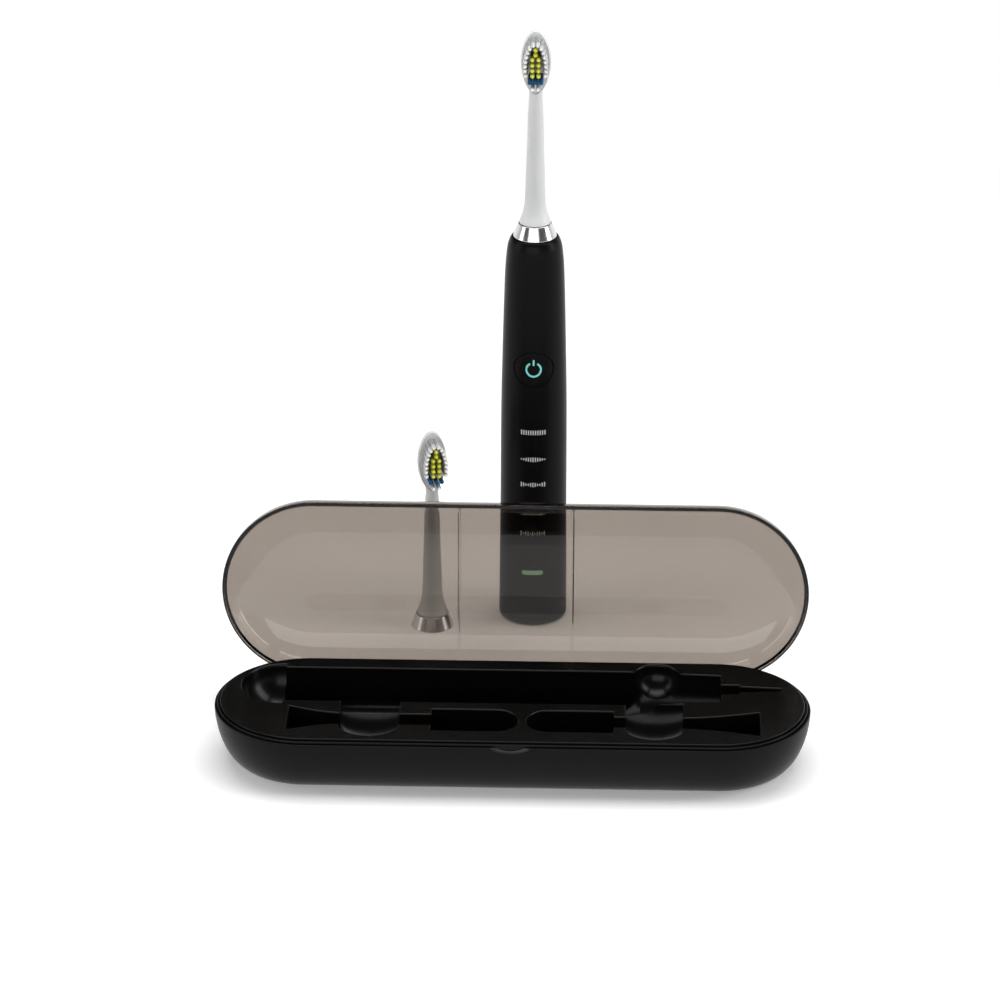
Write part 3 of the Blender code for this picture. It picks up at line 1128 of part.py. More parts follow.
def main():
    sweep, pocket, arm_notch, reliefs = case_cutters()
    case_shell(sweep, pocket, reliefs)
    case_rim_ring(arm_notch, reliefs)
    case_tray()
    hinge_pins()
    lid_shell(place("lid_hinge", (0.0, HINGE_Y, HINGE_Z), (-LID_OPEN, 0.0, 0.0)))

    handle = place("handle_place", (*BRUSH_PLACE, 0.0))
    handle_shell(handle)
    handle_lenses(handle)
    handle_base(handle)
    chassis(handle)
    battery(handle)
    electronics(handle)
    nose(handle)
    power_button(handle)
    drive = place("drive_axis", (*BRUSH_PLACE, 0.0))
    drive_shaft(drive)
    motor(handle, drive)
    brush_head("brush", place("brush_head_place", (*BRUSH_PLACE, HANDLE_HEIGHT + CLEAR)))
    brush_head("spare", place("spare_head_place", (*SPARE_PLACE, 0.0), (0.0, 0.0, SPARE_TURN)))


clear_scene()
PARTS = new_collection("electric_toothbrush_with_case")
CUTTERS = new_collection("cutters")
main()
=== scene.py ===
"""Looks for the toothbrush set: case, lid, handle and heads, in fine mesh with procedural materials."""

import json
import math
import random

import bmesh
import bpy
from mathutils import Matrix, Vector


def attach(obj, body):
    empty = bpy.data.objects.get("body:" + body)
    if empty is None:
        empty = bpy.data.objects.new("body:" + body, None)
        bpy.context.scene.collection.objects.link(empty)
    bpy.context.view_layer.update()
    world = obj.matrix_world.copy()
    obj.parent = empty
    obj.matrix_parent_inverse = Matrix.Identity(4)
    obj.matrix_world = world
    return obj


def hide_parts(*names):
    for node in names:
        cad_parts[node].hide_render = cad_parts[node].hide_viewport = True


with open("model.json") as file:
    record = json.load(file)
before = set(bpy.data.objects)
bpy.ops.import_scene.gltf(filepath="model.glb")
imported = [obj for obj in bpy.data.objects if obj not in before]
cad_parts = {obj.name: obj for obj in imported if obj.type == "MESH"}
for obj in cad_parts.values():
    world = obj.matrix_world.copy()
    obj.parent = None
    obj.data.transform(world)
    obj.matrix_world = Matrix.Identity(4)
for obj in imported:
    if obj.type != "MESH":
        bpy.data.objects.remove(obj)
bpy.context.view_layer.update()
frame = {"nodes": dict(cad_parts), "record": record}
MM = 0.001
CLEAR = 0.3          # gap between pieces
FINE_GAP = 0.08      # gap round a flush lens
PAST = 2.0           # how far a cutter reaches past what it cuts

# ------------------------------------------------------------------ sizes, in millimetres, mostly as in the frame
HALF_WIDTH = 36.25
HALF_STRAIGHT = 79.9
SEAM = 22.3
LAND = 0.75
LEDGE_TOP = 20.7
RING_BOTTOM = 21.0
RING_TOP = 23.34
RING_OUTER = 35.2
RING_INNER = 34.3
RING_FOOT = 32.1
TRAY_TOP = 24.14
TRAY_BOTTOM = 22.3
TRAY_RADIUS = 34.0
TRAY_WALL = 1.4
LID_BOTTOM = 22.6
LID_DEPTH = 15.5
LID_WALL = 1.8
LIP_WIDTH = 0.7
LIP_HEIGHT = 1.15
HINGE_Y = 33.25
HINGE_Z = 18.03
HINGE_DROP = 4.27
BARREL = 2.6
PIN_HOLE = 1.2
KNUCKLES = (28.0, 38.0)
NOTCH_CENTRE = (0.0, -HALF_WIDTH - 0.5, SEAM + 1.2)
NOTCH_RADII = (8.6, 1.7, 3.9)
LUG = 5.6
ARM_GAP = 0.15
ARM_THICK = 1.7
RIB_X = 22.6
SHELL_WALL = 2.0
SHELL_POWER = 1.82
DIP_CENTRE = (56.4, 22.9, 22.4)
DIP_RADIUS = 9.5
DIP_WALL = 1.4
LID_OPEN = math.radians(96.79)
BRUSH_PLACE = Vector((5.4, 129.3, 0.0))
SPARE_PLACE = Vector((-36.0, 116.1, 0.0))
SPARE_TURN = math.radians(12.0)
HANDLE_TOP = 167.5
HANDLE_R = 14.0
SHOULDER = 9.5
TAPER = ((0.02, 1.0), (0.3, 0.974), (0.56, 0.958), (0.72, 0.92), (0.83, 0.887), (0.907, 0.858),
         (0.945, 0.83), (0.977, 0.785), (0.992, 0.73), (1.0, SHOULDER / HANDLE_R))
BASE_ROUND = 1.6
HANDLE_WALL = 1.9
CAP_HEIGHT = 2.85
BUTTON = (7.7, 7.35, 114.2)            # half width, half height and centre
BUTTON_REACH = 10.5
ICON_RADIUS = 2.95
ICON_HALF = 0.35
ICON_BAR = (1.8, 4.2)
MODE_LENS = (5.3, 1.3)
MODE_HEIGHTS = (86.5, 74.5, 63.2, 51.8, 40.5)
CHARGE = (4.3, 0.9, 23.4)
HEAD_LENGTH = 86.7
OVAL_CENTRE = 73.7
OVAL_HALF = 6.0
OVAL_UP = HEAD_LENGTH - OVAL_CENTRE
OVAL_DOWN = 13.6
OVAL_POWER = 1.85
PLATE = 2.1
STEM_RADII = ((0.071, 6.4), (0.106, 5.2), (0.146, 4.45), (0.187, 4.12), (0.268, 3.9), (0.348, 3.69),
              (0.464, 3.36), (0.579, 3.13), (0.637, 2.88), (0.683, 2.62))
HEAD_GAP = 0.3                         # the mounted head's ring above the handle

TURN = 96


# ------------------------------------------------------------------ mesh helpers

def mesh_object(name, verts, faces, scale=MM):
    mesh = bpy.data.meshes.new(name)
    mesh.from_pydata([Vector(v) * scale for v in verts], [], faces)
    mesh.validate()
    item = bpy.data.objects.new(name, mesh)
    bpy.context.scene.collection.objects.link(item)
    return item


def outward(item):
    bm = bmesh.new()
    bm.from_mesh(item.data)
    bmesh.ops.remove_doubles(bm, verts=bm.verts, dist=0.0000005)
    bmesh.ops.recalc_face_normals(bm, faces=bm.faces)
    bm.to_mesh(item.data)
    bm.free()
    return item


def smooth(item, angle=30.0, weighted=True):
    item.data.shade_smooth()
    item.data.set_sharp_from_angle(angle=math.radians(angle))
    if weighted:
        modifier = item.modifiers.new("Weights", "WEIGHTED_NORMAL")
        modifier.keep_sharp = True
        modifier.mode = "FACE_AREA"
    return item


def applied(item):
    """The object's mesh with its modifiers built in."""
    graph = bpy.context.evaluated_depsgraph_get()
    mesh = bpy.data.meshes.new_from_object(item.evaluated_get(graph))
    item.modifiers.clear()
    item.data = mesh
    return item


def boolean(target, tools, operation="DIFFERENCE", solver="MANIFOLD"):
    for tool in tools:
        modifier = target.modifiers.new("Cut", "BOOLEAN")
        modifier.operation = operation
        modifier.solver = solver
        modifier.object = tool
    applied(target)
    for tool in tools:
        bpy.data.objects.remove(tool, do_unlink=True)
    return target


def rounded(points, closed=False, steps=4):
    """A profile of (a, b) or (a, b, radius) corners, those with a radius rounded off."""
    result = []
    count = len(points)
    for k, point in enumerate(points):
        here = Vector(point[:2])
        radius = point[2] if len(point) > 2 else 0.0
        if radius <= 0.0 or (not closed and k in (0, count - 1)):
            result.append(tuple(here))
            continue
        before = Vector(points[k - 1][:2]) - here
        after = Vector(points[(k + 1) % count][:2]) - here
        a = before.normalized()
        b = after.normalized()
        angle = a.angle(b)
        reach = min(radius / math.tan(angle / 2), before.length * 0.49, after.length * 0.49)
        start = here + a * reach
        end = here + b * reach
        for i in range(steps + 1):
            t = i / steps
            result.append(tuple(start * (1 - t) ** 2 + here * 2 * t * (1 - t) + end * t * t))
    return result


def racetrack(name, profile, closed=False, turn=56, straight=24):
    """A profile of (radius, height) run round the case's outline."""
    path = [(-HALF_STRAIGHT + 2 * HALF_STRAIGHT * k / straight, -90.0) for k in range(straight)]
    path += [(HALF_STRAIGHT, -90.0 + 180.0 * k / turn) for k in range(turn)]
    path += [(HALF_STRAIGHT - 2 * HALF_STRAIGHT * k / straight, 90.0) for k in range(straight)]
    path += [(-HALF_STRAIGHT, 90.0 + 180.0 * k / turn) for k in range(turn)]
    verts = []
    for x, angle in path:
        c = math.cos(math.radians(angle))
        s = math.sin(math.radians(angle))
        verts += [(x + r * c, r * s, z) for r, z in profile]
    return outward(mesh_object(name, verts, grid_faces(len(path), len(profile), True, closed)))


def grid_faces(rows, columns, wrap_rows, wrap_columns):
    faces = []
    for i in range(rows if wrap_rows else rows - 1):
        for j in range(columns if wrap_columns else columns - 1):
            k = (i + 1) % rows
            m = (j + 1) % columns
            faces.append((i * columns + j, i * columns + m, k * columns + m, k * columns + j))
    return faces


def turned(name, profile, centre=(0, 0, 0), closed=True, steps=TURN):
    """A profile of (radius, height) turned about a vertical axis."""
    verts = []
    for k in range(steps):
        a = 2 * math.pi * (k + 0.5) / steps
        verts += [(centre[0] + r * math.cos(a), centre[1] + r * math.sin(a), centre[2] + z)
                  for r, z in profile]
    return outward(mesh_object(name, verts, grid_faces(steps, len(profile), True, closed)))


def loft(name, sections):
    count = len(sections[0])
    verts = [p for section in sections for p in section]
    faces = grid_faces(len(sections), count, False, True)
    last = (len(sections) - 1) * count
    faces += [tuple(range(count)), tuple(range(last, last + count))]
    return outward(mesh_object(name, verts, faces))


def prism(name, outline, low, high, point):
    count = len(outline)
    verts = [point(a, b, low) for a, b in outline] + [point(a, b, high) for a, b in outline]
    faces = [(i, (i + 1) % count, count + (i + 1) % count, count + i) for i in range(count)]
    faces += [tuple(range(count)), tuple(range(count, 2 * count))]
    return outward(mesh_object(name, verts, faces))


def along_x(a, b, depth):
    return (depth, a, b)


def along_y(a, b, depth):
    return (a, depth, b)


def along_z(a, b, depth):
    return (a, b, depth)


def box(name, low, high):
    outline = [(low[0], low[1]), (high[0], low[1]), (high[0], high[1]), (low[0], high[1])]
    return prism(name, outline, low[2], high[2], along_z)


def rod(name, start_x, end_x, y, z, radius, steps=40):
    angles = [2 * math.pi * k / steps for k in range(steps)]
    outline = [(y + radius * math.cos(a), z + radius * math.sin(a)) for a in angles]
    return prism(name, outline, start_x, end_x, along_x)


def smooth_value(stations, at):
    places = [s[0] for s in stations]
    values = [s[1] for s in stations]
    if at <= places[0]:
        return values[0]
    if at >= places[-1]:
        return values[-1]
    i = max(k for k in range(len(places) - 1) if places[k] <= at)

    def slope(k):
        low = max(k - 1, 0)
        high = min(k + 1, len(places) - 1)
        return (values[high] - values[low]) / (places[high] - places[low])

    width = places[i + 1] - places[i]
    t = (at - places[i]) / width
    return ((2 * t**3 - 3 * t**2 + 1) * values[i] + (t**3 - 2 * t**2 + t) * width * slope(i)
            + (3 * t**2 - 2 * t**3) * values[i + 1] + (t**3 - t**2) * width * slope(i + 1))


# ------------------------------------------------------------------ materials

def material(name):
    made = bpy.data.materials.new(name)
    made.use_nodes = True
    return made, made.node_tree, made.node_tree.nodes["Principled BSDF"]


def link(tree, a, b):
    tree.links.new(a, b)


def noise(tree, scale, detail=4.0, rough=0.5):
    coords = tree.nodes.new("ShaderNodeTexCoord")
    node = tree.nodes.new("ShaderNodeTexNoise")
    node.inputs["Scale"].default_value = scale
    node.inputs["Detail"].default_value = detail
    node.inputs["Roughness"].default_value = rough
    link(tree, coords.outputs["Object"], node.inputs["Vector"])
    return node.outputs["Fac"]


def ranged(tree, value, low, high, from_low=0.3, from_high=0.7):
    node = tree.nodes.new("ShaderNodeMapRange")
    node.inputs["From Min"].default_value = from_low
    node.inputs["From Max"].default_value = from_high
    node.inputs["To Min"].default_value = low
    node.inputs["To Max"].default_value = high
    link(tree, value, node.inputs["Value"])
    return node.outputs["Result"]


def mixed(tree, fac, a, b):
    node = tree.nodes.new("ShaderNodeMix")
    node.data_type = "RGBA"
    node.inputs["A"].default_value = (*a, 1.0)
    node.inputs["B"].default_value = (*b, 1.0)
    link(tree, fac, node.inputs["Factor"])
    return node.outputs["Result"]


def bump(tree, shader, height, strength, distance):
    node = tree.nodes.new("ShaderNodeBump")
    node.inputs["Strength"].default_value = strength
    node.inputs["Distance"].default_value = distance
    link(tree, height, node.inputs["Height"])
    link(tree, node.outputs["Normal"], shader.inputs["Normal"])


def plastic(name, dark, light, rough_low, rough_high, grain=9000.0, grain_strength=0.15, specular=0.5,
            subsurface=0.0, patch=40.0):
    """Moulded plastic: faint colour drift, uneven gloss from handling, and fine moulded grain."""
    made, tree, shader = material(name)
    drift = noise(tree, patch, 5.0, 0.6)
    link(tree, mixed(tree, drift, dark, light), shader.inputs["Base Color"])
    handling = noise(tree, patch * 3.1, 6.0, 0.65)
    link(tree, ranged(tree, handling, rough_low, rough_high), shader.inputs["Roughness"])
    shader.inputs["Specular IOR Level"].default_value = specular
    if subsurface:
        shader.inputs["Subsurface Weight"].default_value = subsurface
        shader.inputs["Subsurface Radius"].default_value = (0.004, 0.003, 0.0025)
        shader.inputs["Subsurface Scale"].default_value = 0.5
    bump(tree, shader, noise(tree, grain, 2.0), grain_strength, 0.00002)
    return made


def metal(name, colour, rough_low, rough_high, lines=0.0):
    made, tree, shader = material(name)
    shader.inputs["Metallic"].default_value = 1.0
    drift = noise(tree, 60.0, 4.0)
    dull = tuple(c * 0.82 for c in colour)
    link(tree, mixed(tree, drift, dull, colour), shader.inputs["Base Color"])
    link(tree, ranged(tree, noise(tree, 500.0, 3.0), rough_low, rough_high), shader.inputs["Roughness"])
    coords = tree.nodes.new("ShaderNodeTexCoord")
    stretch = tree.nodes.new("ShaderNodeMapping")
    stretch.inputs["Scale"].default_value = (20.0, 20.0, 9000.0)
    grain = tree.nodes.new("ShaderNodeTexNoise")
    grain.inputs["Scale"].default_value = 1.0
    link(tree, coords.outputs["Object"], stretch.inputs["Vector"])
    link(tree, stretch.outputs["Vector"], grain.inputs["Vector"])
    bump(tree, shader, grain.outputs["Fac"], lines, 0.00002)
    return made


def lit(name, colour, strength, spread=600.0):
    """A light guide with uneven glow."""
    made, tree, shader = material(name)
    low = tuple(c * 0.7 for c in colour)
    link(tree, mixed(tree, noise(tree, spread, 2.0), low, colour), shader.inputs["Base Color"])
    link(tree, mixed(tree, noise(tree, spread, 2.0), low, colour), shader.inputs["Emission Color"])
    shader.inputs["Emission Strength"].default_value = strength
    shader.inputs["Roughness"].default_value = 0.35
    return made


def smoked(name):
    made, tree, shader = material(name)
    shader.inputs["Transmission Weight"].default_value = 1.0
    shader.inputs["IOR"].default_value = 1.45
    tint = mixed(tree, noise(tree, 25.0, 3.0), (0.272, 0.233, 0.201), (0.292, 0.254, 0.22))
    link(tree, tint, shader.inputs["Base Color"])
    link(tree, ranged(tree, noise(tree, 40.0, 2.0, 0.4), 0.0, 0.02), shader.inputs["Roughness"])
    bump(tree, shader, noise(tree, 30.0, 1.0), 0.02, 0.00005)
    return made


def bristle(name, side, tip, glow):
    """Nylon with painted light: a darker side colour as painted shade and a lighter, glowing tip as a painted
    glow, standing in for light carried along each filament.
    """
    made, tree, shader = material(name)
    reach = tree.nodes.new("ShaderNodeAttribute")
    reach.attribute_name = "reach"
    # painted shade on the filament's side, painted light towards its tip
    end = ranged(tree, reach.outputs["Fac"], 0.0, 1.0, 0.6, 0.98)
    link(tree, mixed(tree, end, side, tip), shader.inputs["Base Color"])
    # painted glow: emission at the tip, though the bristle is no lamp
    shader.inputs["Emission Color"].default_value = (*tip, 1.0)
    link(tree, ranged(tree, reach.outputs["Fac"], 0.0, glow, 0.94, 1.0), shader.inputs["Emission Strength"])
    link(tree, ranged(tree, noise(tree, 900.0, 3.0), 0.3, 0.5), shader.inputs["Roughness"])
    bump(tree, shader, noise(tree, 3000.0, 2.0), 0.1, 0.00002)
    return made


MATERIALS = {
    # painted highlight: a lighter black on the notch's faces stands in for the light the notch catches
    "notch_painted_highlight": plastic("painted_highlight_notch", (0.018, 0.018, 0.018), (0.022, 0.022, 0.022), 0.3, 0.36,
                           specular=0.3),
    "black_satin": plastic("satin_black", (0.0036, 0.0036, 0.0037), (0.0046, 0.0046, 0.0047), 0.33, 0.39,
                           specular=0.15),
    "handle_satin": plastic("satin_handle", (0.0026, 0.0026, 0.0027), (0.0034, 0.0034, 0.0035), 0.3, 0.36,
                            specular=0.1),
    "black_gloss": plastic("gloss_black", (0.0022, 0.0022, 0.0021), (0.003, 0.0029, 0.0028), 0.2, 0.27,
                           specular=0.2),
    "smoked_clear": smoked("smoked"),
    "steel": metal("turned_steel", (0.62, 0.61, 0.6), 0.22, 0.38, 0.3),
    "chrome": metal("plated_chrome", (0.86, 0.86, 0.87), 0.14, 0.2, 0.06),
    "white_plastic": plastic("satin_white", (0.78, 0.785, 0.785), (0.84, 0.845, 0.845), 0.28, 0.42,
                             7000.0, 0.1, 0.5, 0.15),
    "rubber": plastic("black_rubber", (0.012, 0.012, 0.012), (0.025, 0.025, 0.025), 0.65, 0.85,
                      5000.0, 0.4),
    "copper": metal("copper_wire", (0.75, 0.36, 0.2), 0.25, 0.45, 0.8),
    "iron": metal("ground_iron", (0.33, 0.33, 0.34), 0.35, 0.6, 0.6),
    "grey_plastic": plastic("grey_moulding", (0.3, 0.3, 0.31), (0.42, 0.42, 0.43), 0.4, 0.6),
    "board_green": plastic("solder_resist", (0.008, 0.09, 0.035), (0.02, 0.17, 0.07), 0.25, 0.45,
                           1500.0, 0.4),
    "cell_wrap": plastic("shrink_wrap", (0.02, 0.05, 0.2), (0.04, 0.09, 0.28), 0.2, 0.35),
    "led_clear": plastic("led_resin", (0.7, 0.7, 0.62), (0.85, 0.85, 0.8), 0.15, 0.3),
    "teal_light": lit("teal_glow", (0.20, 0.64, 0.61), 0.5),
    "green_light": lit("green_glow", (0.34, 0.66, 0.38), 0.75),
    "white_light": lit("grey_legend", (0.62, 0.62, 0.63), 0.25),
    # bristle side colours are painted shade; tip colours and glow strengths are painted light
    "white_bristle": bristle("bristle_white", (0.45, 0.46, 0.46), (0.95, 0.95, 0.95), 0.6),
    "yellow_bristle": bristle("bristle_yellow", (0.34, 0.35, 0.03), (0.95, 0.96, 0.16), 0.38),
    "blue_bristle": bristle("bristle_blue", (0.003, 0.05, 0.17), (0.012, 0.22, 0.56), 0.05),
}
NODE_SLOTS = {row["node"]: row["material_slot"] for row in frame["record"]["subparts"]}


def finish(item, slot, body, *nodes, look=None):
    item.data.materials.clear()
    item.data.materials.append(MATERIALS[look or slot])
    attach(item, body)
    if nodes:
        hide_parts(*nodes)
    return item


# ------------------------------------------------------------------ case

def shell_curve(power, reach, drop, bottom, count, first=0.0, inset=10.35):
    points = []
    for k in range(count + 1):
        angle = math.pi / 2 - (math.pi / 2 - first) * k / count
        across = max(math.cos(angle), 0.0) ** (2 / power)
        down = math.sin(angle) ** (2 / power)
        points.append((HALF_WIDTH - inset + reach * across, bottom + drop * (1 - down)))
    return points


def u_section(x, y, half, floor, corner, top):
    corner = min(corner, half * 0.98)
    points = [(x, y - half, top)]
    for side, first in ((-1.0, 180.0), (1.0, 270.0)):
        for k in range(11):
            angle = math.radians(first + 9.0 * k)
            points.append((x, y + side * (half - corner) + corner * math.cos(angle),
                           floor + corner + corner * math.sin(angle)))
    points.append((x, y + half, top))
    return points


def trough(name, stations, grow=0.0, top=TRAY_TOP + PAST):
    sections = []
    for k, (x, y, half, floor, corner) in enumerate(stations):
        x += {0: -grow, len(stations) - 1: grow}.get(k, 0.0)
        sections.append(u_section(x, y, half + grow, floor - grow, corner + grow, top))
    return loft(name, sections)


EDGE = 0.55
BOWL_EDGE = 1.0


def flare(name, outline, edge=EDGE):
    """Cutter that rounds the tray's edge along a recess outline (x, y), counter-clockwise."""
    count = len(outline)
    rings = []
    for k in range(-1, 6):
        angle = math.radians(max(k, 0) * 15.0)
        grow = edge * (1 - math.cos(angle)) - 0.01
        height = TRAY_TOP - edge + edge * math.sin(angle)
        if k < 0:
            height -= 0.6
            grow = -0.25
        ring = []
        for i in range(count):
            before = Vector(outline[i]) - Vector(outline[i - 1])
            after = Vector(outline[(i + 1) % count]) - Vector(outline[i])
            normal = Vector((before.y, -before.x)).normalized() + Vector((after.y, -after.x)).normalized()
            normal = normal / max(normal.dot(Vector((after.y, -after.x)).normalized()), 0.5)
            spot = Vector(outline[i]) + normal * grow
            ring.append((spot.x, spot.y, height))
        rings.append(ring)
    rings.append([(x, y, TRAY_TOP + PAST) for x, y, _ in rings[-1]])
    return loft(name, rings)


def plan(stations):
    front = [(x, y - half) for x, y, half, _, _ in stations]
    rear = [(x, y + half) for x, y, half, _, _ in reversed(stations)]
    return front + rear


def dense(stations, step=1.5):
    """Straight runs between stations filled in, for even faces."""
    rows = [stations[0]]
    for a, b in zip(stations, stations[1:]):
        count = max(int(abs(b[0] - a[0]) / step), 1)
        for k in range(1, count + 1):
            t = k / count
            rows.append(tuple(p + (q - p) * t for p, q in zip(a, b)))
    return rows


SLOT_Y = -16.5
MAIN_LEFT = -90.5
MAIN_Y = 12.0


def flare_rows(wide_x, wide, narrow_x, narrow):
    rows = []
    for k in range(17):
        share = k / 16
        half = narrow + (wide - narrow) * (1 - share) ** 1.7
        rows.append((wide_x + (narrow_x - wide_x) * share, SLOT_Y, half, 12.2, 4.0))
    return sorted(rows)


def brush_rows(square_x, round_x, half):
    way = 1.0 if round_x > square_x else -1.0
    rows = [(square_x, SLOT_Y, half, 6.0, 2.0)]
    for k in range(19):
        angle = math.radians(84.0) * k / 18
        rows.append((round_x - way * half * (1 - math.sin(angle)), SLOT_Y, half * math.cos(angle), 6.0, 2.0))
    return sorted(rows)


def scoop_rows(low_x, high_x):
    middle = (low_x + high_x) / 2
    rows = []
    for k in range(25):
        x = low_x + (high_x - low_x) * k / 24
        front = -30.4 + 12.9 - math.sqrt(12.9**2 - (x - middle) ** 2)
        half = (-0.9 - front) / 2
        rows.append((x, (-0.9 + front) / 2, half, TRAY_TOP - half, half))
    return rows


def bowl_rows():
    rows = []
    for k in range(19):
        angle = math.radians(84.0) * (1 - k / 18)
        half = 16.2 * math.cos(angle)
        rows.append((MAIN_LEFT + 0.4 - 16.2 * math.sin(angle), MAIN_Y, half, TRAY_TOP - half, half))
    return rows


def round_row(x, offset, half):
    return x, MAIN_Y + offset, half, 19.0 - half, half


RECESSES = {
    "main": [(MAIN_LEFT, MAIN_Y, 14.0, 4.2, 5.5), (44.5, MAIN_Y, 14.0, 4.2, 5.5), round_row(50.0, 0.1, 13.6),
             round_row(81.5, 0.5, 11.25)],
    "nose": [round_row(81.1, 0.2, 3.8), round_row(88.8, 0.2, 3.8)],
    "shaft": [round_row(88.4, 0.5, 2.35), round_row(105.0, 0.5, 1.1)],
    "bowl": bowl_rows(),
    "left_flare": flare_rows(-86.5, 9.65, -65.0, 4.25),
    "left_scoop": scoop_rows(-66.5, -43.5),
    "left_neck": [(-45.0, SLOT_Y, 4.25, 12.2, 3.0), (-30.5, SLOT_Y, 4.25, 12.2, 3.0)],
    "left_brush": brush_rows(-31.0, 2.6, 8.75),
    "right_flare": flare_rows(96.0, 9.5, 65.0, 4.15),
    "right_scoop": scoop_rows(44.2, 66.5),
    "right_neck": [(39.0, SLOT_Y, 4.15, 12.2, 3.0), (45.7, SLOT_Y, 4.15, 12.2, 3.0)],
    "right_brush": brush_rows(39.5, 5.9, 8.6),
}


def ball(name, grow=0.0, steps=14):
    """Round finger dip beside the handle's shoulder."""
    radius = DIP_RADIUS + grow
    top = TRAY_TOP + PAST - DIP_CENTRE[2]
    angles = [math.pi / 2 * k / steps for k in range(steps)]
    profile = [(0.0, top), (radius, top), *((radius * math.cos(a), -radius * math.sin(a)) for a in angles)]
    profile.append((0.0, -radius))
    return turned(name, profile, DIP_CENTRE, False, 64)


def ball_outline():
    angles = [2 * math.pi * k / 64 for k in range(64)]
    return [(DIP_CENTRE[0] + DIP_RADIUS * math.cos(a), DIP_CENTRE[1] + DIP_RADIUS * math.sin(a))
            for a in angles]


def make_case():
    outer = shell_curve(SHELL_POWER, 10.35, SEAM, 0.0, 30)
    ledge_foot = LEDGE_TOP - 2.0 - 1.5
    first = math.asin(((SEAM - ledge_foot) / (SEAM - SHELL_WALL)) ** (SHELL_POWER / 2))
    inner = shell_curve(SHELL_POWER, 8.35, SEAM - SHELL_WALL, SHELL_WALL, 12, first)
    profile = [(0.0, 0.0), *outer[:-1], (HALF_WIDTH, SEAM, 0.22), (HALF_WIDTH - LAND, SEAM, 0.15),
               (HALF_WIDTH - LAND, LEDGE_TOP), (HALF_WIDTH - 3.0, LEDGE_TOP),
               (HALF_WIDTH - 3.0, LEDGE_TOP - 2.0), *reversed(inner), (0.0, SHELL_WALL)]
    shell = racetrack("shell_body", rounded(profile))
    arc = [(HINGE_Y + HINGE_DROP * math.cos(math.radians(90.0 - 75.0 * k / 16)),
            HINGE_Z + HINGE_DROP * math.sin(math.radians(90.0 - 75.0 * k / 16))) for k in range(17)]
    far = HINGE_Y + 3 * HINGE_DROP
    outline = [*arc, (far, arc[-1][1]), (far, SEAM + PAST), (HINGE_Y, SEAM + PAST)]
    cutters = [prism("sweep", outline, -98.0, 98.0, along_x)]
    lugs = []
    holes = []
    for side in (-1.0, 1.0):
        ends = sorted((side * (KNUCKLES[0] - CLEAR), side * (KNUCKLES[1] + CLEAR)))
        cutters.append(box("pocket", (ends[0], HINGE_Y - BARREL - CLEAR, HINGE_Z - HINGE_DROP),
                           (ends[1], HALF_WIDTH + PAST, RING_TOP + PAST)))
        for a, b in ((KNUCKLES[0] - CLEAR - LUG, KNUCKLES[0] - CLEAR),
                     (KNUCKLES[1] + CLEAR, KNUCKLES[1] + CLEAR + LUG)):
            lugs.append(rod("lug", *sorted((side * a, side * b)), HINGE_Y, HINGE_Z, BARREL))
        holes.append(rod("hole", *sorted((side * (KNUCKLES[0] - 6.5), side * (KNUCKLES[1] + 6.5))), HINGE_Y,
                         HINGE_Z, PIN_HOLE, 24))
    boolean(shell, cutters)
    boolean(shell, lugs, "UNION")
    notch = []
    for k in range(25):
        a = math.pi * (k / 24 - 0.5)
        ring = [(NOTCH_RADII[0] * math.cos(a) * math.cos(b),
                 NOTCH_CENTRE[1] + NOTCH_RADII[1] * math.cos(a) * math.sin(b),
                 NOTCH_CENTRE[2] + NOTCH_RADII[2] * math.sin(a))
                for b in (2 * math.pi * m / 48 for m in range(48))]
        notch.append(ring)
    holes.append(loft("notch", notch[1:-1]))
    room = TRAY_WALL + CLEAR
    reliefs = [trough("relief", RECESSES["bowl"], room), trough("relief", RECESSES["right_flare"], room),
               ball("relief", room)]
    copies = []
    for relief in reliefs:
        twin = relief.copy()
        twin.data = relief.data.copy()
        bpy.context.scene.collection.objects.link(twin)
        copies.append(twin)
    boolean(shell, holes + reliefs)
    finish(smooth(shell), "black_satin", "case", "case_shell")
    # the notch's faces get the lighter painted-highlight material
    shell.data.materials.append(MATERIALS["notch_painted_highlight"])
    for face in shell.data.polygons:
        away = [(c / MM - m) / r for c, m, r in zip(face.center, NOTCH_CENTRE, NOTCH_RADII)]
        inward = -Vector([a / r for a, r in zip(away, NOTCH_RADII)]).normalized()
        if abs(sum(a * a for a in away) - 1) < 0.03 and inward.dot(face.normal) > 0.97:
            face.material_index = 1
    section = [(RING_OUTER, RING_TOP, 0.2), (RING_OUTER, RING_BOTTOM), (RING_FOOT, RING_BOTTOM),
               (RING_FOOT, RING_BOTTOM + 1.0), (RING_INNER, RING_BOTTOM + 1.0), (RING_INNER, RING_TOP, 0.2)]
    ring = racetrack("rim_ring", rounded(section, True), True)
    notches = []
    for side in (-1.0, 1.0):
        ends = sorted((side * (KNUCKLES[0] - CLEAR), side * (KNUCKLES[1] + CLEAR)))
        notches.append(box("arm_notch", (ends[0], HALF_WIDTH - ARM_GAP - ARM_THICK - CLEAR, RING_BOTTOM - PAST),
                           (ends[1], HALF_WIDTH + PAST, RING_TOP + PAST)))
    boolean(ring, notches + copies)
    finish(smooth(ring), "black_gloss", "case", "case_rim_ring")


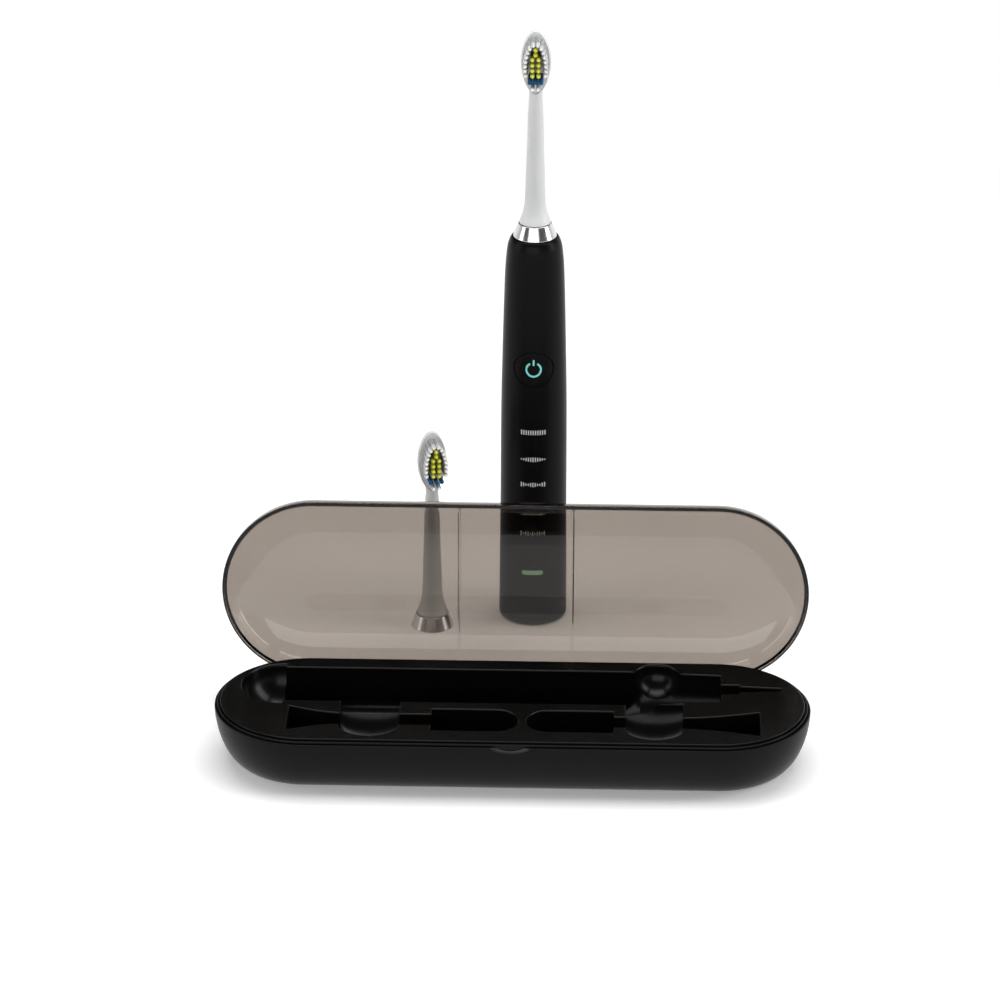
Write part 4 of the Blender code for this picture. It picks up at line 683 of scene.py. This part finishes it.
def make_tray():
    plate = [(0.0, TRAY_TOP), (TRAY_RADIUS, TRAY_TOP, 0.35), (TRAY_RADIUS, TRAY_BOTTOM), (0.0, TRAY_BOTTOM)]
    tray = racetrack("tray_body", rounded(plate, steps=6))
    inside = (TRAY_TOP + TRAY_BOTTOM) / 2
    walls = [trough(name + "_wall", rows, TRAY_WALL, inside) for name, rows in RECESSES.items()]
    boolean(tray, walls, "UNION")
    radius = DIP_RADIUS + DIP_WALL
    angles = [math.pi / 2 * k / 14 for k in range(14)]
    profile = [(0.0, inside - DIP_CENTRE[2]), (radius, inside - DIP_CENTRE[2])]
    profile += [(radius * math.cos(a), -radius * math.sin(a)) for a in angles]
    profile.append((0.0, -radius))
    boolean(tray, [turned("dip_wall", profile, DIP_CENTRE, False, 64)], "UNION")
    cutters = []
    for name, rows in RECESSES.items():
        cutters.append(trough(name, dense(rows)))
        cutters.append(flare(name + "_edge", plan(dense(rows)), BOWL_EDGE if name == "bowl" else EDGE))
    cutters += [ball("dip"), flare("dip_edge", ball_outline(), BOWL_EDGE)]
    boolean(tray, cutters)
    finish(smooth(tray), "black_gloss", "case", "case_tray")


# ------------------------------------------------------------------ lid

LID_POWER = 2.9
LID_INNER_POWER = 3.3


def lid_point(angle, wall, power=LID_INNER_POWER):
    """Superellipse section of the dome; a higher power makes a squarer shoulder."""
    across = max(math.cos(angle), 0.0) ** (2 / power)
    up = max(math.sin(angle), 0.0) ** (2 / power)
    return ((HALF_WIDTH - wall) * across, LID_BOTTOM + (LID_DEPTH - wall) * up)


def rib(name, x):
    """Low rounded rib across the inside of the lid."""
    sections = []
    for k in range(61):
        angle = math.radians(12.0 + 156.0 * k / 60)
        turn = angle if angle < math.pi / 2 else math.pi - angle
        section = []
        for side, wall in ((-1.0, -0.4), (-1.0, 0.2), (-0.87, 0.45), (-0.5, 0.65), (0.0, 0.72), (0.5, 0.65),
                           (0.87, 0.45), (1.0, 0.2), (1.0, -0.4)):
            r, z = lid_point(turn, LID_WALL + wall)
            section.append((x + 0.6 * side, math.copysign(r, math.cos(angle)), z))
        sections.append(section)
    return loft(name, sections)


def make_lid():
    lip_top = LID_BOTTOM + LIP_HEIGHT
    first = math.asin((LIP_HEIGHT / (LID_DEPTH - LID_WALL)) ** (LID_INNER_POWER / 2))
    steps = 40
    outer = [lid_point(math.pi / 2 * k / steps, 0.0, LID_POWER) for k in range(steps + 1)]
    inner = [lid_point(first + (math.pi / 2 - first) * k / steps, LID_WALL) for k in range(steps + 1)]
    profile = [(0.0, outer[-1][1]), *reversed(outer[1:-1]), (outer[0][0], outer[0][1], 0.2),
               (HALF_WIDTH - LIP_WIDTH, LID_BOTTOM, 0.2), (HALF_WIDTH - LIP_WIDTH, lip_top), *inner[:-1],
               (0.0, inner[-1][1])]
    lid = racetrack("lid_body", rounded(profile))
    joined = []
    holes = []
    for side in (-1.0, 1.0):
        joined.append(rib("rib", side * RIB_X))
        ends = sorted((side * KNUCKLES[0], side * KNUCKLES[1]))
        joined.append(box("arm", (ends[0], HALF_WIDTH - ARM_GAP - ARM_THICK, HINGE_Z),
                          (ends[1], HALF_WIDTH - ARM_GAP, lip_top + 0.8)))
        joined.append(rod("barrel", *ends, HINGE_Y, HINGE_Z, BARREL))
        holes.append(rod("hole", ends[0] - PAST, ends[1] + PAST, HINGE_Y, HINGE_Z, PIN_HOLE, 24))
    boolean(lid, joined, "UNION")
    boolean(lid, holes)
    turn = (Matrix.Translation((0, HINGE_Y * MM, HINGE_Z * MM)) @ Matrix.Rotation(-LID_OPEN, 4, "X")
            @ Matrix.Translation((0, -HINGE_Y * MM, -HINGE_Z * MM)))
    lid.data.transform(turn)
    finish(smooth(lid), "smoked_clear", "lid", "lid_shell")


# ------------------------------------------------------------------ handle

def handle_radius(z):
    if z < BASE_ROUND:
        return HANDLE_R - BASE_ROUND + math.sqrt(BASE_ROUND**2 - (BASE_ROUND - z) ** 2)
    return HANDLE_R * smooth_value(TAPER, z / HANDLE_TOP)


def pill(half_length, half_height, centre, grow=0.0, steps=12):
    radius = half_height + grow
    reach = half_length - half_height
    points = []
    for side, first in ((1.0, -90.0), (-1.0, 90.0)):
        for k in range(steps + 1):
            angle = math.radians(first + 180.0 * k / steps)
            points.append((side * reach + radius * math.cos(angle), centre + radius * math.sin(angle)))
    return points


def oval(half_width, half_height, centre, count=96):
    angles = [2 * math.pi * k / count for k in range(count)]
    return [(half_width * math.cos(a), centre + half_height * math.sin(a)) for a in angles]


def place(item, origin, angle=0.0):
    item.data.transform(Matrix.Translation(origin * MM) @ Matrix.Rotation(angle, 4, "Z"))
    return item


def joined_mesh(items):
    """The meshes of several separate closed pieces as one, the pieces themselves removed."""
    bm = bmesh.new()
    for item in items:
        bm.from_mesh(item.data)
        bpy.data.objects.remove(item, do_unlink=True)
    mesh = bpy.data.meshes.new("joined")
    bm.to_mesh(mesh)
    bm.free()
    return mesh


def front_prism(outline):
    return prism("front", outline, -HANDLE_R - PAST, -6.0, along_y)


def band(name, low, high, outer_step, inner_step, steps=160, row=0.6):
    count = max(int((high - low) / row), 2)
    rows = [low + (high - low) * k / count for k in range(count + 1)]
    outer = [(handle_radius(z) - outer_step, z) for z in reversed(rows)]
    inner = [(handle_radius(z) - inner_step, z) for z in rows]
    return turned(name, outer + inner, steps=steps)


def make_handle():
    rows = [CAP_HEIGHT + CLEAR + (HANDLE_TOP - CAP_HEIGHT - CLEAR) * k / 120 for k in range(121)]
    rows += [HANDLE_TOP - 0.15 * k for k in range(1, 40)]
    rows = sorted(set(round(z, 4) for z in rows))
    outer = [(handle_radius(z), z) for z in reversed(rows)]
    inner = [(handle_radius(z) - HANDLE_WALL, z) for z in rows[::6] if z < HANDLE_TOP - 2.0]
    top = [(4.3, HANDLE_TOP), (outer[0][0] - 0.25, HANDLE_TOP), (outer[0][0] - 0.07, HANDLE_TOP - 0.05)]
    bottom = outer[-1]
    profile = top + outer[1:-1] + [(bottom[0], bottom[1] + 0.12), (bottom[0] - 0.12, bottom[1])]
    roof = HANDLE_TOP - HANDLE_WALL
    profile += inner + [(handle_radius(roof) - HANDLE_WALL, roof), (4.3, roof)]
    shell = turned("handle_body", profile, steps=160)
    outlines = [pill(*MODE_LENS, z, FINE_GAP) for z in MODE_HEIGHTS] + [pill(*CHARGE, FINE_GAP)]
    outlines.append(oval(BUTTON[0] + 0.2, BUTTON[1] + 0.2, BUTTON[2]))
    lead_in = band("button_lead_in", BUTTON[2] - BUTTON_REACH, BUTTON[2] + BUTTON_REACH, -PAST, 0.22)
    boolean(lead_in, [front_prism(oval(BUTTON[0] + 0.5, BUTTON[1] + 0.5, BUTTON[2]))], "INTERSECT")
    boolean(shell, [front_prism(o) for o in outlines] + [lead_in])
    finish(place(smooth(shell), BRUSH_PLACE), "black_satin", "handle", "handle_shell", look="handle_satin")
    spigot = handle_radius(CAP_HEIGHT + 6.5) - HANDLE_WALL - CLEAR
    edge = [(handle_radius(CAP_HEIGHT * k / 10), CAP_HEIGHT * k / 10) for k in range(10, -1, -1)]
    edge[0] = (edge[0][0] - 0.12, CAP_HEIGHT)
    edge.insert(1, (handle_radius(CAP_HEIGHT - 0.12), CAP_HEIGHT - 0.12))
    groove = spigot - 1.2
    cap = [(0.0, 2.0), (spigot - 2.0, 2.0), (spigot - 2.0, 9.35), (spigot, 9.35), (spigot, 7.0), (groove, 7.0),
           (groove, 5.2), (spigot, 5.2), (spigot, CAP_HEIGHT), *edge, (0.0, 0.0)]
    end_cap = smooth(turned("end_cap_body", cap, closed=False, steps=128))
    finish(place(end_cap, BRUSH_PLACE), "black_satin", "handle", "handle_end_cap", look="handle_satin")
    lens = band("charge_indicator_piece", CHARGE[2] - 3.0, CHARGE[2] + 3.0, 0.0, HANDLE_WALL, 160, 0.3)
    boolean(lens, [front_prism(pill(*CHARGE))], "INTERSECT")
    finish(place(smooth(lens), BRUSH_PLACE), "green_light", "handle", "charge_indicator_lens")
    for k, z in enumerate(MODE_HEIGHTS):
        make_mode(k, z)


def make_mode(k, z):
    """A flush dark window with a mode's light-grey mark: a row of strokes shaped like its wave."""
    window = band("mode_window_%d" % (k + 1), z - 3.0, z + 3.0, 0.0, HANDLE_WALL, 160, 0.3)
    boolean(window, [front_prism(pill(*MODE_LENS, z))], "INTERSECT")
    finish(place(smooth(window), BRUSH_PLACE), "black_gloss", "handle", look="handle_satin")
    strokes = []
    for n in range(-5, 6):
        half = 1.05 * (0.3 + 0.7 * abs(math.cos(math.pi * k * n / 10)))
        outline = [(a + 0.95 * n, b) for b, a in pill(half, 0.24, 0.0, steps=6)]
        strokes.append(front_prism([(a, z + b) for a, b in outline]))
    mark = band("mode_mark_%d" % (k + 1), z - 1.8, z + 1.8, -0.03, 0.4, 160, 0.3)
    together = bpy.data.objects.new("strokes", joined_mesh(strokes))
    bpy.context.scene.collection.objects.link(together)
    boolean(mark, [together], "INTERSECT")
    finish(place(smooth(mark), BRUSH_PLACE), "white_light", "handle", "mode_lens_%d" % (k + 1))


def make_button():
    low, high = BUTTON[2] - BUTTON_REACH, BUTTON[2] + BUTTON_REACH
    cap = band("button_cap", low, high, 0.0, 2.6)
    boolean(cap, [front_prism(oval(*BUTTON))], "INTERSECT")
    edge = cap.modifiers.new("Edge", "BEVEL")
    edge.width = 0.22 * MM
    edge.segments = 3
    edge.limit_method = "ANGLE"
    edge.angle_limit = math.radians(50.0)
    applied(cap)
    ring, bar = icon_outlines()
    groove = band("groove", low, high, -2.0, 1.1)
    hollow = [front_prism(o) for o in icon_outlines(CLEAR * 0.5)]
    boolean(hollow[0], [hollow[1]], "UNION")
    boolean(groove, [hollow[0]], "INTERSECT")
    boolean(cap, [groove])
    finish(place(smooth(cap), BRUSH_PLACE), "black_gloss", "button", "power_button", look="handle_satin")
    for name, outline in (("power_icon_ring", ring), ("power_icon_bar", bar)):
        icon = band(name + "_piece", low, high, 0.0, 0.8)
        boolean(icon, [front_prism(outline)], "INTERSECT")
        finish(place(smooth(icon), BRUSH_PLACE), "teal_light", "button", name)


def icon_outlines(grow=0.0):
    half = ICON_HALF + grow
    spare = grow / ICON_RADIUS
    gap = math.radians(31.0)
    first = math.pi / 2 + gap - spare
    last = math.pi * 2.5 - gap + spare
    angles = [first + (last - first) * k / 64 for k in range(65)]
    ring = [((ICON_RADIUS + half) * math.cos(a), BUTTON[2] + (ICON_RADIUS + half) * math.sin(a))
            for a in angles]
    ring += [((ICON_RADIUS - half) * math.cos(a), BUTTON[2] + (ICON_RADIUS - half) * math.sin(a))
             for a in reversed(angles)]
    low, high = BUTTON[2] + ICON_BAR[0] - grow, BUTTON[2] + ICON_BAR[1] + grow
    return ring, [(-half, low), (half, low), (half, high), (-half, high)]


def make_nose():
    top = HANDLE_TOP + 7.0
    profile = [(2.2, top), (4.0, top, 0.5), (4.0, 165.3), (7.6, 165.3, 0.3), (7.6, 162.3, 0.3), (3.1, 162.3),
               (3.1, top - 1.2), (2.2, top - 1.2)]
    nose = smooth(turned("nose_body", rounded(profile, True), steps=64))
    finish(place(nose, BRUSH_PLACE), "black_gloss", "handle", "nose_collar")


# ------------------------------------------------------------------ heads

def stem_radius(z):
    return smooth_value(STEM_RADII, z / HEAD_LENGTH)


def oval_half_width(z):
    up = z - OVAL_CENTRE
    share = min(abs(up) / (OVAL_UP if up > 0 else OVAL_DOWN), 1.0)
    return OVAL_HALF * (1 - share**OVAL_POWER) ** (1 / OVAL_POWER)


def oval_outline(inset, count=96):
    points = []
    for k in range(count):
        angle = 2 * math.pi * k / count
        across = math.copysign(abs(math.cos(angle)) ** (2 / OVAL_POWER), math.cos(angle))
        along = math.copysign(abs(math.sin(angle)) ** (2 / OVAL_POWER), math.sin(angle))
        reach = (OVAL_UP if along > 0 else OVAL_DOWN) - inset
        points.append(((OVAL_HALF - inset) * across, OVAL_CENTRE + reach * along))
    return points


def stem_rows():
    neck = STEM_RADII[-1][0] * HEAD_LENGTH
    rows = [(0.0, 7.6, 7.6, 2.0), (5.5, 5.4, 5.4, 2.0), (5.8, 5.4, 5.4, 2.0)]
    for k in range(1, 4):
        half = 5.4 + (stem_radius(5.9) - 5.4) * k / 3
        rows.append((5.85 + 0.01 * k, half, half, 2.0))
    count = 60
    rows += [(5.9 + (neck - 5.9) * k / count, stem_radius(5.9 + (neck - 5.9) * k / count),
              stem_radius(5.9 + (neck - 5.9) * k / count), 2.0) for k in range(1, count + 1)]
    span = HEAD_LENGTH - neck
    for k in range(1, 61):
        z = neck + span * math.sin(math.radians(89.0) * k / 60)
        blend = min((z - neck) / (span * 0.25), 1.0)
        blend = blend * blend * (3 - 2 * blend)
        wide = max(oval_half_width(z), stem_radius(neck) if z < OVAL_CENTRE else 0.0)
        deep = stem_radius(neck) * (1 - blend) + PLATE * blend
        tip = max((z - OVAL_CENTRE) / OVAL_UP, 0.0)
        rows.append((z, wide, deep * math.sqrt(1 - 0.97 * tip**6), 2.0 + 0.8 * blend))
    return rows


def make_stem(name, body, node, origin, angle):
    sections = []
    for z, wide, deep, power in stem_rows():
        section = []
        for k in range(64):
            a = 2 * math.pi * k / 64
            x = math.copysign(abs(math.cos(a)) ** (2 / power), math.cos(a))
            y = math.copysign(abs(math.sin(a)) ** (2 / power), math.sin(a))
            section.append((wide * x, deep * y, z))
        sections.append(section)
    stem = loft(name, sections)
    bore = [(0.0, 23.0), (3.3, 23.0), (3.3, 7.0), (4.3, 7.0), (4.3, -PAST), (0.0, -PAST)]
    recess = prism("recess", oval_outline(0.6), -PLATE - PAST, -PLATE + 1.2, along_y)
    boolean(stem, [turned("bore", bore, closed=False, steps=48), recess])
    finish(place(smooth(stem), origin, angle), "white_plastic", body, node)


def make_collar(name, body, node, origin, angle):
    profile = [(6.7, 5.5, 0.25), (8.9, 0.0, 0.25), (7.9, 0.0), (5.7, 5.5)]
    ring = smooth(turned(name, rounded(profile, True), steps=128))
    finish(place(ring, origin, angle), "chrome", body, node)


YELLOW = ((0.0, 7.9), (0.0, 5.95), (-1.15, 4.1), (1.15, 4.1), (-1.15, 1.9), (1.15, 1.9), (-1.15, -0.2),
          (1.15, -0.2), (-1.15, -2.3), (1.15, -2.3))
BLUE = ((-2.2, -4.9), (0.0, -4.9), (2.2, -4.9))
WHITE_FOOT = ((-1.1, -7.5), (1.1, -7.5))


def white_tufts():
    start = math.radians(-15.0)
    span = math.pi - 2 * start
    fine = [start + span * k / 400 for k in range(401)]
    points = [(3.95 * math.cos(a), 0.35 + 9.6 * math.sin(a)) for a in fine]
    lengths = [0.0]
    for (x0, z0), (x1, z1) in zip(points, points[1:]):
        lengths.append(lengths[-1] + math.hypot(x1 - x0, z1 - z0))
    tufts = []
    for k in range(16):
        want = lengths[-1] * k / 15
        tufts.append(points[min(range(401), key=lambda i: abs(lengths[i] - want))])
    return tuple(tufts) + WHITE_FOOT


def make_tufts(prefix, body, colour, tufts, origin, angle):
    """Each tuft is a bundle of thin round filaments that spread a little to their rounded tips."""
    draw = random.Random(prefix + colour)
    verts = []
    faces = []
    root = -PLATE + 0.9
    tip = -PLATE - 9.7
    sides = 6
    for x, z in tufts:
        spots = [(0.0, 0.0)]
        for ring, count in ((0.25, 6), (0.5, 12), (0.74, 18)):
            spots += [(ring * math.cos(2 * math.pi * (k + 0.5 * ring) / count),
                       ring * math.sin(2 * math.pi * (k + 0.5 * ring) / count)) for k in range(count)]
        for dx, dz in spots:
            lean_x = draw.uniform(-0.05, 0.05)
            lean_z = draw.uniform(-0.05, 0.05)
            drop = draw.uniform(-0.03, 0.03) + 0.75 * (dx * dx + dz * dz)
            radius = 0.112
            base = len(verts)
            levels = ((0.0, 1.0), (0.35, 1.0), (0.7, 1.0), (0.97, 1.0), (0.99, 0.75), (1.0, 0.35))
            for t, share in levels:
                y = root + (tip + drop - root) * t
                spread = 1.0 + 0.06 * t
                cx = x * spread + dx + lean_x * t * t
                cz = z * spread + dz + lean_z * t * t
                for m in range(sides):
                    a = 2 * math.pi * m / sides
                    verts.append((cx + radius * share * math.cos(a), y,
                                  OVAL_CENTRE + cz + radius * share * math.sin(a)))
            count = len(levels)
            for i in range(count - 1):
                for m in range(sides):
                    n = (m + 1) % sides
                    faces.append((base + i * sides + m, base + i * sides + n, base + (i + 1) * sides + n,
                                  base + (i + 1) * sides + m))
            faces.append(tuple(base + m for m in range(sides)))
            faces.append(tuple(base + (count - 1) * sides + m for m in range(sides)))
    item = outward(mesh_object("%s_%s_bristles" % (prefix, colour), verts, faces))
    smooth(item, 70.0, False)
    reach = item.data.attributes.new("reach", "FLOAT", "POINT")
    for k, vertex in enumerate(item.data.vertices):
        reach.data[k].value = (vertex.co.y / MM - root) / (tip - root)
    finish(place(item, origin, angle), colour + "_bristle", body, "%s_%s_tufts" % (prefix, colour))


def make_heads():
    heads = (("brush", "brush_head", BRUSH_PLACE + Vector((0, 0, HANDLE_TOP + HEAD_GAP)), 0.0),
             ("spare", "spare_head", SPARE_PLACE, SPARE_TURN))
    for prefix, body, origin, angle in heads:
        make_stem(prefix + "_stem_body", body, prefix + "_stem", origin, angle)
        make_collar(prefix + "_ring", body, prefix + "_collar_ring", origin, angle)
        for colour, tufts in (("yellow", YELLOW), ("blue", BLUE), ("white", white_tufts())):
            make_tufts(prefix, body, colour, tufts, origin, angle)
        pad = prism(prefix + "_tuft_base", oval_outline(0.9), -PLATE + 0.25, -PLATE + 0.9, along_y)
        finish(place(smooth(pad), origin, angle), "white_plastic", body)


# ------------------------------------------------------------------ stage, camera and light

def seen_by(tree, first, *others):
    """1 for the named kinds of ray, else 0."""
    path = tree.nodes.new("ShaderNodeLightPath")
    value = path.outputs[first]
    for name in others:
        both = tree.nodes.new("ShaderNodeMath")
        both.operation = "MAXIMUM"
        link(tree, value, both.inputs[0])
        link(tree, path.outputs[name], both.inputs[1])
        value = both.outputs[0]
    return value


def stage_material(name, glow, grey):
    """White to the camera and through the lid, with the object's shadow kept near it.

    A reflection sees a plain glow, a little dimmer near the object as a painted shadow of it, and fading up the
    wall.
    All other light sees a pale matte surface.
    """
    made, tree, shader = material(name)
    shader.inputs["Base Color"].default_value = (0.8, 0.8, 0.8, 1.0)
    shader.inputs["Roughness"].default_value = 0.9
    shader.inputs["Specular IOR Level"].default_value = 0.0
    coords = tree.nodes.new("ShaderNodeTexCoord")
    distance = tree.nodes.new("ShaderNodeVectorMath")
    distance.operation = "LENGTH"
    link(tree, coords.outputs["Object"], distance.inputs[0])
    away = ranged(tree, distance.outputs["Value"], 0.0, 1.0, 0.25, 0.7)
    near = tree.nodes.new("ShaderNodeBsdfDiffuse")
    near.inputs["Color"].default_value = (grey, grey, grey, 1.0)
    lamp = tree.nodes.new("ShaderNodeEmission")
    lamp.inputs["Strength"].default_value = glow
    both = tree.nodes.new("ShaderNodeAddShader")
    link(tree, near.outputs[0], both.inputs[0])
    link(tree, lamp.outputs[0], both.inputs[1])
    far = tree.nodes.new("ShaderNodeEmission")
    far.inputs["Strength"].default_value = 1.0
    spread = tree.nodes.new("ShaderNodeMixShader")
    link(tree, away, spread.inputs[0])
    link(tree, both.outputs[0], spread.inputs[1])
    link(tree, far.outputs[0], spread.inputs[2])
    split = tree.nodes.new("ShaderNodeSeparateXYZ")
    link(tree, coords.outputs["Object"], split.inputs[0])
    # painted shadow: near the object the reflected glow is dimmed to 0.8; up the wall it fades
    reflected_glow_with_painted_shadow = tree.nodes.new("ShaderNodeMath")
    reflected_glow_with_painted_shadow.operation = "MULTIPLY"
    link(tree, ranged(tree, distance.outputs["Value"], 0.8, 1.0, 0.1, 0.6), reflected_glow_with_painted_shadow.inputs[0])
    link(tree, ranged(tree, split.outputs["Z"], 1.0, 0.1, 0.1, 0.94), reflected_glow_with_painted_shadow.inputs[1])
    gloss = tree.nodes.new("ShaderNodeEmission")
    link(tree, reflected_glow_with_painted_shadow.outputs[0], gloss.inputs["Strength"])
    kind = tree.nodes.new("ShaderNodeMixShader")
    reflected = tree.nodes.new("ShaderNodeMath")
    reflected.operation = "GREATER_THAN"
    link(tree, seen_by(tree, "Is Glossy Ray"), reflected.inputs[0])
    link(tree, seen_by(tree, "Is Transmission Ray"), reflected.inputs[1])
    link(tree, reflected.outputs[0], kind.inputs[0])
    link(tree, spread.outputs[0], kind.inputs[1])
    link(tree, gloss.outputs[0], kind.inputs[2])
    mix = tree.nodes.new("ShaderNodeMixShader")
    link(tree, seen_by(tree, "Is Camera Ray", "Is Glossy Ray", "Is Transmission Ray"), mix.inputs[0])
    link(tree, shader.outputs[0], mix.inputs[1])
    link(tree, kind.outputs[0], mix.inputs[2])
    link(tree, mix.outputs[0], tree.nodes["Material Output"].inputs["Surface"])
    return made


def make_stage():
    """A round pale floor, with a low pale wall far behind everything."""
    reach = 3000.0
    angles = [2 * math.pi * k / 96 for k in range(96)]
    rim = [(reach * math.cos(a), reach * math.sin(a)) for a in angles]
    floor = mesh_object("floor", [(x, y, -0.02) for x, y in rim], [tuple(range(96))])
    floor.data.materials.append(stage_material("floor", 0.2, 1.0))
    wall = mesh_object("backdrop", [(x, y, z) for z in (-0.02, 950.0) for x, y in rim],
                       [(k, (k + 1) % 96, 96 + (k + 1) % 96, 96 + k) for k in range(96)])
    wall.data.shade_smooth()
    wall.data.materials.append(stage_material("backdrop", 1.0, 0.0))
    world = bpy.data.worlds.new("studio")
    bpy.context.scene.world = world
    world.use_nodes = True
    back = world.node_tree.nodes["Background"]
    back.inputs["Color"].default_value = (1.0, 1.0, 1.0, 1.0)
    back.inputs["Strength"].default_value = 0.08


def area_light(name, location, target, size, power):
    data = bpy.data.lights.new(name, "AREA")
    data.shape = "RECTANGLE"
    data.size, data.size_y = size
    data.energy = power
    lamp = bpy.data.objects.new(name, data)
    lamp.visible_camera = False
    lamp.location = location
    direction = Vector(target) - Vector(location)
    lamp.rotation_euler = direction.to_track_quat("-Z", "Y").to_euler()
    bpy.context.scene.collection.objects.link(lamp)
    return lamp


def make_lights():
    area_light("top_softbox", (0.0, 0.22, 1.25), (0.0, 0.05, 0.0), (1.3, 0.8), 13.0)
    area_light("left_softbox", (-1.0, -0.1, 0.55), (0.0, 0.08, 0.1), (0.4, 0.9), 2.2)
    area_light("right_softbox", (1.0, 0.0, 0.6), (0.0, 0.08, 0.1), (0.4, 0.9), 4.6)
    area_light("front_softbox", (-0.25, -1.9, 0.75), (0.0, 0.1, 0.15), (2.2, 0.9), 12.0)
    area_light("back_softbox", (0.8, 1.6, 0.85), (0.05, 0.0, 0.0), (0.8, 0.8), 3.2)


def make_camera():
    """The photo's view, fitted to the outlines of the case, lid, handle and heads."""
    yaw = math.radians(-1.537)
    pitch = math.radians(25.053)
    roll = math.radians(0.14)
    forward = Vector((math.sin(yaw) * math.cos(pitch), math.cos(yaw) * math.cos(pitch), -math.sin(pitch)))
    right = Vector((math.cos(yaw), -math.sin(yaw), 0.0))
    up = right.cross(forward)
    right_2 = right * math.cos(roll) + up * math.sin(roll)
    up_2 = up * math.cos(roll) - right * math.sin(roll)
    data = bpy.data.cameras.new("view")
    data.sensor_width = 36.0
    data.lens = 160.094
    data.clip_start = 0.01
    data.clip_end = 30.0
    camera = bpy.data.objects.new("view", data)
    turn = Matrix((right_2, up_2, -forward)).transposed().to_4x4()
    camera.matrix_world = Matrix.Translation((0.03627, -1.53647, 0.82878)) @ turn
    bpy.context.scene.collection.objects.link(camera)
    bpy.context.scene.camera = camera


def finish_nodes():
    """The hidden works keep their solids and get their own finishes."""
    for name, node in frame["nodes"].items():
        node.data.materials.clear()
        node.data.materials.append(MATERIALS[NODE_SLOTS[name]])


make_camera()
make_stage()
make_lights()
finish_nodes()
make_case()
make_tray()
make_lid()
make_handle()
make_button()
make_nose()
make_heads()
bpy.context.scene.view_settings.view_transform = "Standard"
